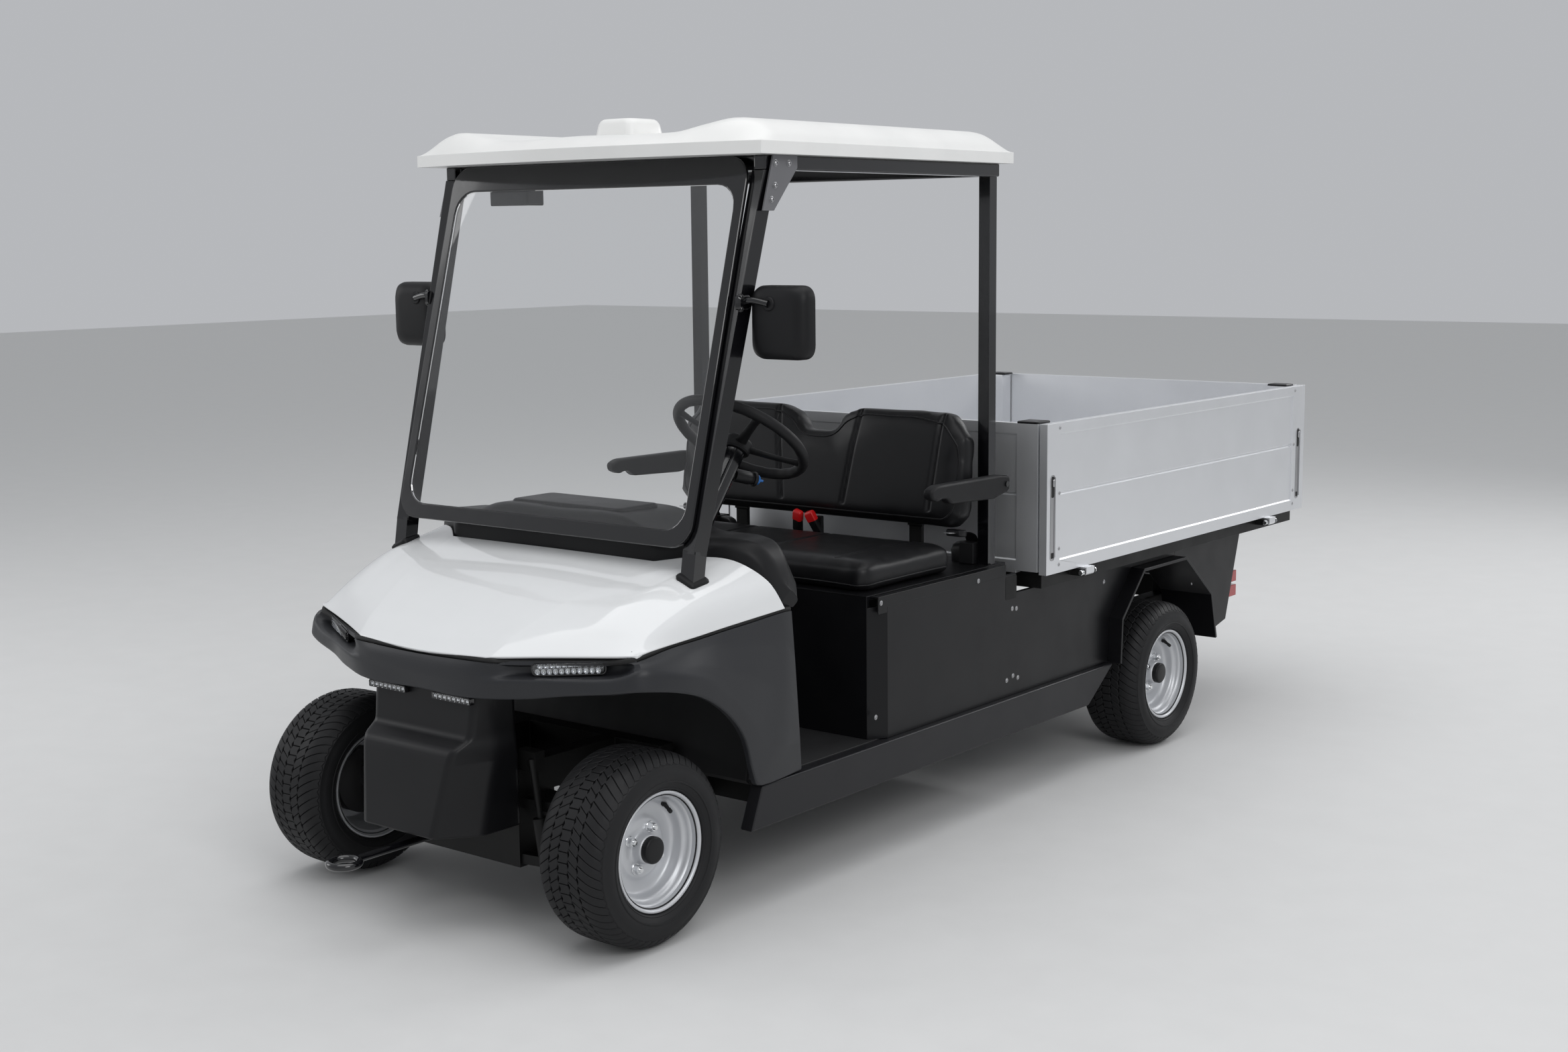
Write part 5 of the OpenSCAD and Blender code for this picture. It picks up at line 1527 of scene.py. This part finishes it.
    def _cushion(self) -> None:
        """Builds the bench cushion with its piping and two sewn channels."""
        node = "seat_cushion"
        obj = self._swell(node, "seat_cushion_pad", (0.995, 0.99, 0.95), (0, 0, 0))
        low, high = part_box(node)
        for v in obj.data.vertices:
            v.co.z = max(v.co.z, low.z + 0.4 * MM)
        down = Vector((0, 0, -1))
        lines = [(spot(x, 905, 760), spot(x * 1.02, 1265, 760)) for x in self.CHANNELS_X]
        self._finish_pad(obj, node)
        self._press(obj, lines, down, 6.5, 5.0)
        outline = rounded([Vector((x, y, low.z + 14 * MM)) for x, y in
                           ((low.x, low.y), (high.x, low.y), (high.x, high.y), (low.x, high.y))], 0.07, 10)
        self._piping("seat_cushion_piping", obj, [p for a, b in zip(outline, outline[1:] + outline[:1])
                                                  for p in (a.lerp(b, t / 12) for t in range(12))])

    def _back(self) -> None:
        """Builds the seat back with its two shoulders, sewn channels and piping."""
        node = "seat_back"
        obj = self._swell(node, "seat_back_pad", (0.99, 0.90, 0.985), (0, 0, 0))
        self._finish_pad(obj, node)
        lean = math.radians(self.BACK_LEAN)
        axis = Vector((0, math.cos(lean), -math.sin(lean)))
        lines = [
            (spot(s * x0, 1250, z0), spot(s * x1, 1250, z1))
            for (x0, z0), (x1, z1) in self.GROOVES
            for s in (1, -1)
        ]
        self._press(obj, lines, axis, 9.0, 5.5)
        low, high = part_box(node)
        inset = 26 * MM
        half, base, top = high.x - inset, low.z + inset + 10 * MM, high.z - inset
        outline = [(-half, base + 0.05), (-half + 0.04, base), (half - 0.04, base), (half, base + 0.05),
                   (half, top - 0.09), (half - 0.06, top - 0.015), (half - 0.15, top), (0.16, top),
                   (0.09, top - 0.03), (0.05, top - 0.07), (-0.05, top - 0.07), (-0.09, top - 0.03),
                   (-0.16, top), (-half + 0.15, top), (-half + 0.06, top - 0.015), (-half, top - 0.09)]
        smooth = rounded([Vector((x, low.y - 0.02 + (z - low.z) * 0.14, z)) for x, z in outline], 0.03, 4)
        self._piping("seat_back_piping", obj, [p for a, b in zip(smooth, smooth[1:] + smooth[:1])
                                               for p in (a.lerp(b, t / 4) for t in range(4))])

    def _armrest(self, side: int, suffix: str) -> None:
        """Builds one armrest with soft edges and a finger notch.

        Args:
            side: 1 on the cart's left, -1 on its right.
            suffix: End of the piece's name.
        """
        y, z = self.arm_pin
        y0 = y - self.arm_l
        outline = [(y + 20, z - 20), (y + 20, z + 22), (y - 30, z + 28), (y0 + 30, z + 30), (y0, z + 18),
                   (y0 + 4, z - 4), (y0 + 34, z - 15), (y0 + 52, z - 9), (y0 + 78, z - 10),
                   (y0 + 96, z - 27), (y - 60, z - 36)]
        x = self.arm_x - self.arm_w / 2
        shape = Shape()
        shape.prism(rounded([spot(x, a, b) for a, b in outline], 14 * MM, 5), Vector((self.arm_w * MM, 0, 0)))
        form = shape.sided(side)
        obj = form.piece(f"armrest_{suffix}_dressed", GRIP, "grip_rubber", f"{suffix}_armrest", bevel_mm=7,
                         smooth_deg=50)
        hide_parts(f"armrest_{suffix}")

    def _buckles(self) -> None:
        """Builds the pair of buckles with red buttons."""
        case, button = Shape(), Shape()
        place = facing(spot(38, 1292, 762), Vector((-0.30, -0.32, 0.90)), Vector((0, 1, 0)))
        pad(case, place, [(-14, 18, 12, 4), (0, 26, 17, 5), (44, 28, 19, 5), (50, 26, 17, 5)])
        pad(button, place, [(34, 29.5, 20.5, 5), (56, 29.5, 20.5, 5), (62, 26, 17, 5), (64, 20, 12, 4)])
        case.double()
        button.double()
        case.piece("buckle_cases", DASH_BLACK, "black_plastic", smooth_deg=40)
        button.piece("buckle_buttons", BUCKLE_RED, "black_plastic", smooth_deg=40)

    def _belts(self) -> None:
        """Builds the parked belts: reel covers, and webbing from each reel to its tongue."""
        web, tongue, plate = Shape(), Shape(), Shape()
        path = spline([spot(474, 1440, 748), spot(476, 1424, 772), spot(480, 1385, 786),
                       spot(484, 1345, 788)], 8)
        rows = []
        for k, p in enumerate(path):
            along = (path[min(k + 1, len(path) - 1)] - path[max(k - 1, 0)]).normalized()
            out = Vector((1, 0, 0)).cross(along).normalized()
            corners = ((-1, 0), (1, 0), (1, 1.6), (-1, 1.6))
            rows.append([p + Vector((s * 20 * MM, 0, 0)) + out * h * MM for s, h in corners])
        web.grid(rows, around=True)
        pad(tongue, Matrix.Translation(spot(452, 1446, 689.5)) @ Matrix.Rotation(math.radians(-8), 4, "Y"),
            [(0, 80, 52, 10), (40, 78, 48, 12), (54, 66, 38, 12), (60, 46, 24, 8)])
        web.double()
        web.piece("belt_webbing", DASH_BLACK, "black_plastic", bevel_mm=0.4)
        place = facing(spot(484, 1338, 788), Vector((0, -1, 0.12)))
        pad(tongue, place, [(-18, 50, 14, 6), (-13, 56, 20, 7), (10, 50, 20, 7), (16, 42, 13, 5)])
        pad(plate, place, [(12, 24, 2.4, 1), (44, 24, 2.4, 1), (48, 18, 2.4, 1)])
        tongue.double()
        plate.double()
        tongue.piece("belt_tongues", APRON_BLACK, "black_plastic", smooth_deg=40)
        plate.piece("belt_plates", STEEL, "bright_steel")


@dataclass
class BodyPanels:
    """Screws, painted shade of the sockets, and closing strips of the side panels and the rear skirt.

    Attributes:
        panel_x: Outer face of the left side panel.
        flange_y: Front and rear end of the strip over a side panel.
        flange_z: Lower and upper edge of that strip.
        sheet: Thickness of that strip.
        socket: Place and height of the dark pad at a panel's upper rear corner, painted shade of the socket
            there.
    """

    panel_x: float = 575.0
    flange_y: tuple[float, float] = (843.0, 1457.0)
    flange_z: tuple[float, float] = (644.0, 689.5)
    sheet: float = 3.0
    socket: tuple[float, float] = (1483.0, 622.0)

    SCREWS = ((855, 673), (1314, 665), (1496, 366), (1522, 356), (1463, 358), (1490, 561), (1512, 558),
              (830, 377), (2012, 563), (2592, 475))

    def build(self) -> None:
        """Builds the details on both sides."""
        shape = Shape()
        for y, z in self.SCREWS:
            screw(shape, spot(self.panel_x, y, z), Vector((1, 0, 0)), 5.5, 2.8)
        shape.double()
        shape.piece("panel_screws", STEEL, "bright_steel")
        # Dark pad at the panel's upper rear corner: painted shade of the socket there.
        socket_shade = Shape()
        place = facing(spot(self.panel_x, *self.socket), Vector((1, 0, 0)))
        pad(socket_shade, place, [(-1, 58, 66, 5), (0.4, 58, 66, 5), (0.6, 57, 65, 4.5)])
        socket_shade.double()
        socket_shade.piece("panel_socket_painted_shade", GAP_SHADE_BLACK, "black_plastic")
        self._flanges()

    def _flanges(self) -> None:
        """Builds the folded strips that close the panels to the seat box's lid."""
        outer, (low, high), t = self.panel_x - 0.4, self.flange_z, self.sheet
        section = [(outer - t, low), (outer, low), (outer, high), (outer - 22, high), (outer - 22, high - t),
                   (outer - t, high - t)]
        shape = Shape()
        shape.prism([spot(x, self.flange_y[0], z) for x, z in section],
                    Vector((0, (self.flange_y[1] - self.flange_y[0]) * MM, 0)))
        shape.double()
        shape.piece("panel_flanges", PANEL_BLACK, "black_steel", bevel_mm=1.2)


@dataclass
class CargoBed:
    """Latches, caps, screws and hinge bolts of the bed.

    Attributes:
        outer_x: Outer face of the left board.
        low: Lower edge of the boards.
        high: Upper edge of the boards.
        ends: Front and rear end of the left board.
        cap_w: Width of a board's end cap.
        latch_z: Heights of a latch's lip, its hole and its keeper.
        hinge: Sideways place and height of a board's hinge pins.
        hinge_places: Middles of the two hinges along a board.
    """

    outer_x: float = 635.0
    low: float = 648.0
    high: float = 1078.0
    ends: tuple[float, float] = (1574.0, 3302.0)
    cap_w: float = 68.0
    latch_z: tuple[float, float, float] = (810.0, 898.0, 702.0)
    hinge: tuple[float, float] = (645.0, 633.0)
    hinge_places: tuple[float, float] = (1789.0, 3021.0)

    def build(self) -> None:
        """Builds the details of the bed."""
        for side, suffix in SIDES:
            self._board(side, suffix)
        self._post_caps()
        self._hinge_bolts()

    def _board(self, side: int, suffix: str) -> None:
        """Builds latches, dark pads of painted hole shade, and screws on one drop side.

        Args:
            side: 1 on the cart's left, -1 on its right.
            suffix: The side's name.
        """
        plates, hole_shade, screws = Shape(), Shape(), Shape()
        out = Vector((1, 0, 0))
        for y in (self.ends[0] + 30, self.ends[1] - 52):
            lip, hole, keeper = (facing(spot(self.outer_x, y, z), out) for z in self.latch_z)
            pad(plates, lip, [(-1, 24, 246, 12), (1.2, 24, 246, 12), (1.5, 22.5, 244.5, 11),
                              (1.5, 18, 240, 9), (0.2, 18, 240, 9)])
            # Dark pads on the latch hole and the keeper: painted shade where those openings would be dark.
            pad(hole_shade, hole, [(0.1, 16, 60, 8), (0.9, 16, 60, 8)])
            pad(hole_shade, keeper, [(0.1, 14, 16, 2), (0.9, 14, 16, 2)])
            pad(plates, hole @ Matrix.Translation(Vector((0, 12, 0)) * MM),
                [(0, 9, 22, 4), (5, 9, 22, 4), (7, 6, 18, 3)])
        for y in (self.ends[0] + self.cap_w, self.ends[1] - self.cap_w - 14):
            for z in (self.high - 14, self.high - 200, self.low + 70, self.low + 24):
                screw(screws, spot(self.outer_x, y, z), out, 4.5, 2.2)
        forms = [f.sided(side) for f in (plates, hole_shade, screws)]
        body = f"{suffix}_drop_side"
        forms[0].piece(f"board_latches_{suffix}", STEEL, "aluminium", body)
        forms[1].piece(f"board_hole_painted_shade_{suffix}", GAP_SHADE_BLACK, "black_plastic", body)
        forms[2].piece(f"board_screws_{suffix}", STEEL, "bright_steel", body)

    def _hinge_bolts(self) -> None:
        """Builds the bright heads and nuts on the ends of the boards' hinge pins."""
        shape = Shape()
        x, z = self.hinge
        head = [(0.001, 32.5), (9.6, 32.5), (9.6, 34.2), (8.0, 34.2), (8.0, 39.6), (6.6, 41.0), (0.001, 41.0)]
        for y in self.hinge_places:
            for way in (1, -1):
                place = facing(spot(x, y, z), Vector((0, way, 0)))
                shape.revolve(metres(head), place, 20)
        shape.double()
        shape.piece("hinge_bolts", CHROME, "bright_steel")

    def _post_caps(self) -> None:
        """Builds the black caps on the headboard's and the rear posts."""
        shape = Shape()
        for node in ("bed_headboard", "bed_rear_posts"):
            low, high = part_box(node)
            deep = min(high.y - low.y, 0.07) / MM
            at = Vector((high.x - 35 * MM, low.y + deep * MM / 2, high.z))
            pad(shape, Matrix.Translation(at), [(-0.5, 70, deep, 4), (4, 70, deep, 4), (6, 66, deep - 4, 4)])
        shape.double()
        shape.piece("post_caps", APRON_BLACK, "black_plastic", smooth_deg=40)


@dataclass
class Studio:
    """Floor, lights and camera.

    Attributes:
        floor_grey: Colour of the floor.
        eye: Camera's place in millimetres from the front axle.
        yaw: Camera's turn in degrees.
        pitch: Camera's look down in degrees.
        roll: Camera's roll in degrees.
        focal_px: Focal length in pixels of the photo's frame.
        frame_px: Width of the photo's frame.
    """

    floor_grey: float = 0.66
    eye: tuple[float, float, float] = (3507.13, -3235.93, 1610.83)
    yaw: float = 38.45
    pitch: float = 8.32
    roll: float = -0.57
    focal_px: float = 2963.87
    frame_px: float = 2337.0

    def build(self) -> None:
        """Builds the studio."""
        scene = bpy.context.scene
        scene.view_settings.view_transform = "Standard"
        self._floor()
        self._world(scene)
        self._lights()
        self._camera(scene)

    def _floor(self) -> None:
        """Lays a wide pale floor."""
        finish = Finish("studio floor", (self.floor_grey,) * 3, 0.75, spread=0.05, mottle=0.015)
        bpy.ops.mesh.primitive_grid_add(x_subdivisions=2, y_subdivisions=2, size=60)
        floor = bpy.context.object
        floor.name = "studio_floor"
        floor.data.materials.append(finish.material())

    def _world(self, scene: bpy.types.Scene) -> None:
        """Sets a plain pale surround."""
        world = bpy.data.worlds.new("studio")
        scene.world = world
        world.use_nodes = True
        tree = world.node_tree
        light = tree.nodes["Background"]
        light.inputs["Color"].default_value = (0.86, 0.88, 0.90, 1)
        light.inputs["Strength"].default_value = 0.60
        seen = tree.nodes.new("ShaderNodeBackground")
        seen.inputs["Color"].default_value = (0.47, 0.48, 0.50, 1)
        seen.inputs["Strength"].default_value = 1.0
        path = tree.nodes.new("ShaderNodeLightPath")
        mix = tree.nodes.new("ShaderNodeMixShader")
        seen_by = path.outputs["Is Camera Ray"]
        for ray in ("Is Glossy Ray", "Is Transmission Ray"):
            either = tree.nodes.new("ShaderNodeMath")
            either.operation = "MAXIMUM"
            tree.links.new(seen_by, either.inputs[0])
            tree.links.new(path.outputs[ray], either.inputs[1])
            seen_by = either.outputs[0]
        tree.links.new(seen_by, mix.inputs[0])
        tree.links.new(light.outputs[0], mix.inputs[1])
        tree.links.new(seen.outputs[0], mix.inputs[2])
        tree.links.new(mix.outputs[0], tree.nodes["World Output"].inputs["Surface"])

    def _lights(self) -> None:
        """Hangs the soft boxes: overhead, key on the left, strip behind and fill on the right."""
        middle = Vector((0, 0, 0.7))
        boxes = [("overhead", (0.3, -0.6, 6.5), (6.5, 7.5), 200), ("key", (5.6, -3.4, 4.2), (3.0, 2.4), 90),
                 ("strip", (2.5, 6.0, 3.6), (5.0, 1.6), 90), ("fill", (-5.6, -3.4, 2.8), (2.6, 2.6), 40)]
        for name, place, (wide, high), watts in boxes:
            lamp = bpy.data.lights.new(name, "AREA")
            lamp.shape = "RECTANGLE"
            lamp.size, lamp.size_y, lamp.energy = wide, high, watts
            obj = bpy.data.objects.new(name, lamp)
            obj.location = place
            obj.rotation_euler = (middle - Vector(place)).to_track_quat("-Z", "Y").to_euler()
            bpy.context.scene.collection.objects.link(obj)

    def _camera(self, scene: bpy.types.Scene) -> None:
        """Sets the camera where the photo was taken."""
        yaw, pitch, roll = (math.radians(a) for a in (self.yaw, self.pitch, self.roll))
        ahead = Vector((-math.sin(yaw) * math.cos(pitch), math.cos(yaw) * math.cos(pitch), -math.sin(pitch)))
        right = Vector((math.cos(yaw), math.sin(yaw), 0))
        up = right.cross(ahead)
        x = right * math.cos(roll) + up * math.sin(roll)
        y = up * math.cos(roll) - right * math.sin(roll)
        lens = bpy.data.cameras.new("photo_camera")
        lens.sensor_width = 36.0
        lens.sensor_fit = "HORIZONTAL"
        lens.lens = self.focal_px / self.frame_px * lens.sensor_width
        lens.clip_end = 200
        camera = bpy.data.objects.new("photo_camera", lens)
        turn = Matrix((x, y, -ahead)).transposed().to_4x4()
        camera.matrix_world = Matrix.Translation(spot(*self.eye)) @ turn
        scene.collection.objects.link(camera)
        scene.camera = camera


def main() -> None:
    """Builds the cart's looks in order."""
    logging.basicConfig(level=logging.INFO, format="%(relativeCreated)6d ms %(message)s")
    Studio().build()
    Seats().build()
    CadDress().dress()
    for end, side in (("front_left", 1), ("front_right", -1), ("rear_left", 1), ("rear_right", -1)):
        Wheel(end, side).build()
    for part in (FrontEnd(), Cab(), Controls(), BodyPanels(), CargoBed()):
        part.build()


if __name__ == "__main__":
    main()
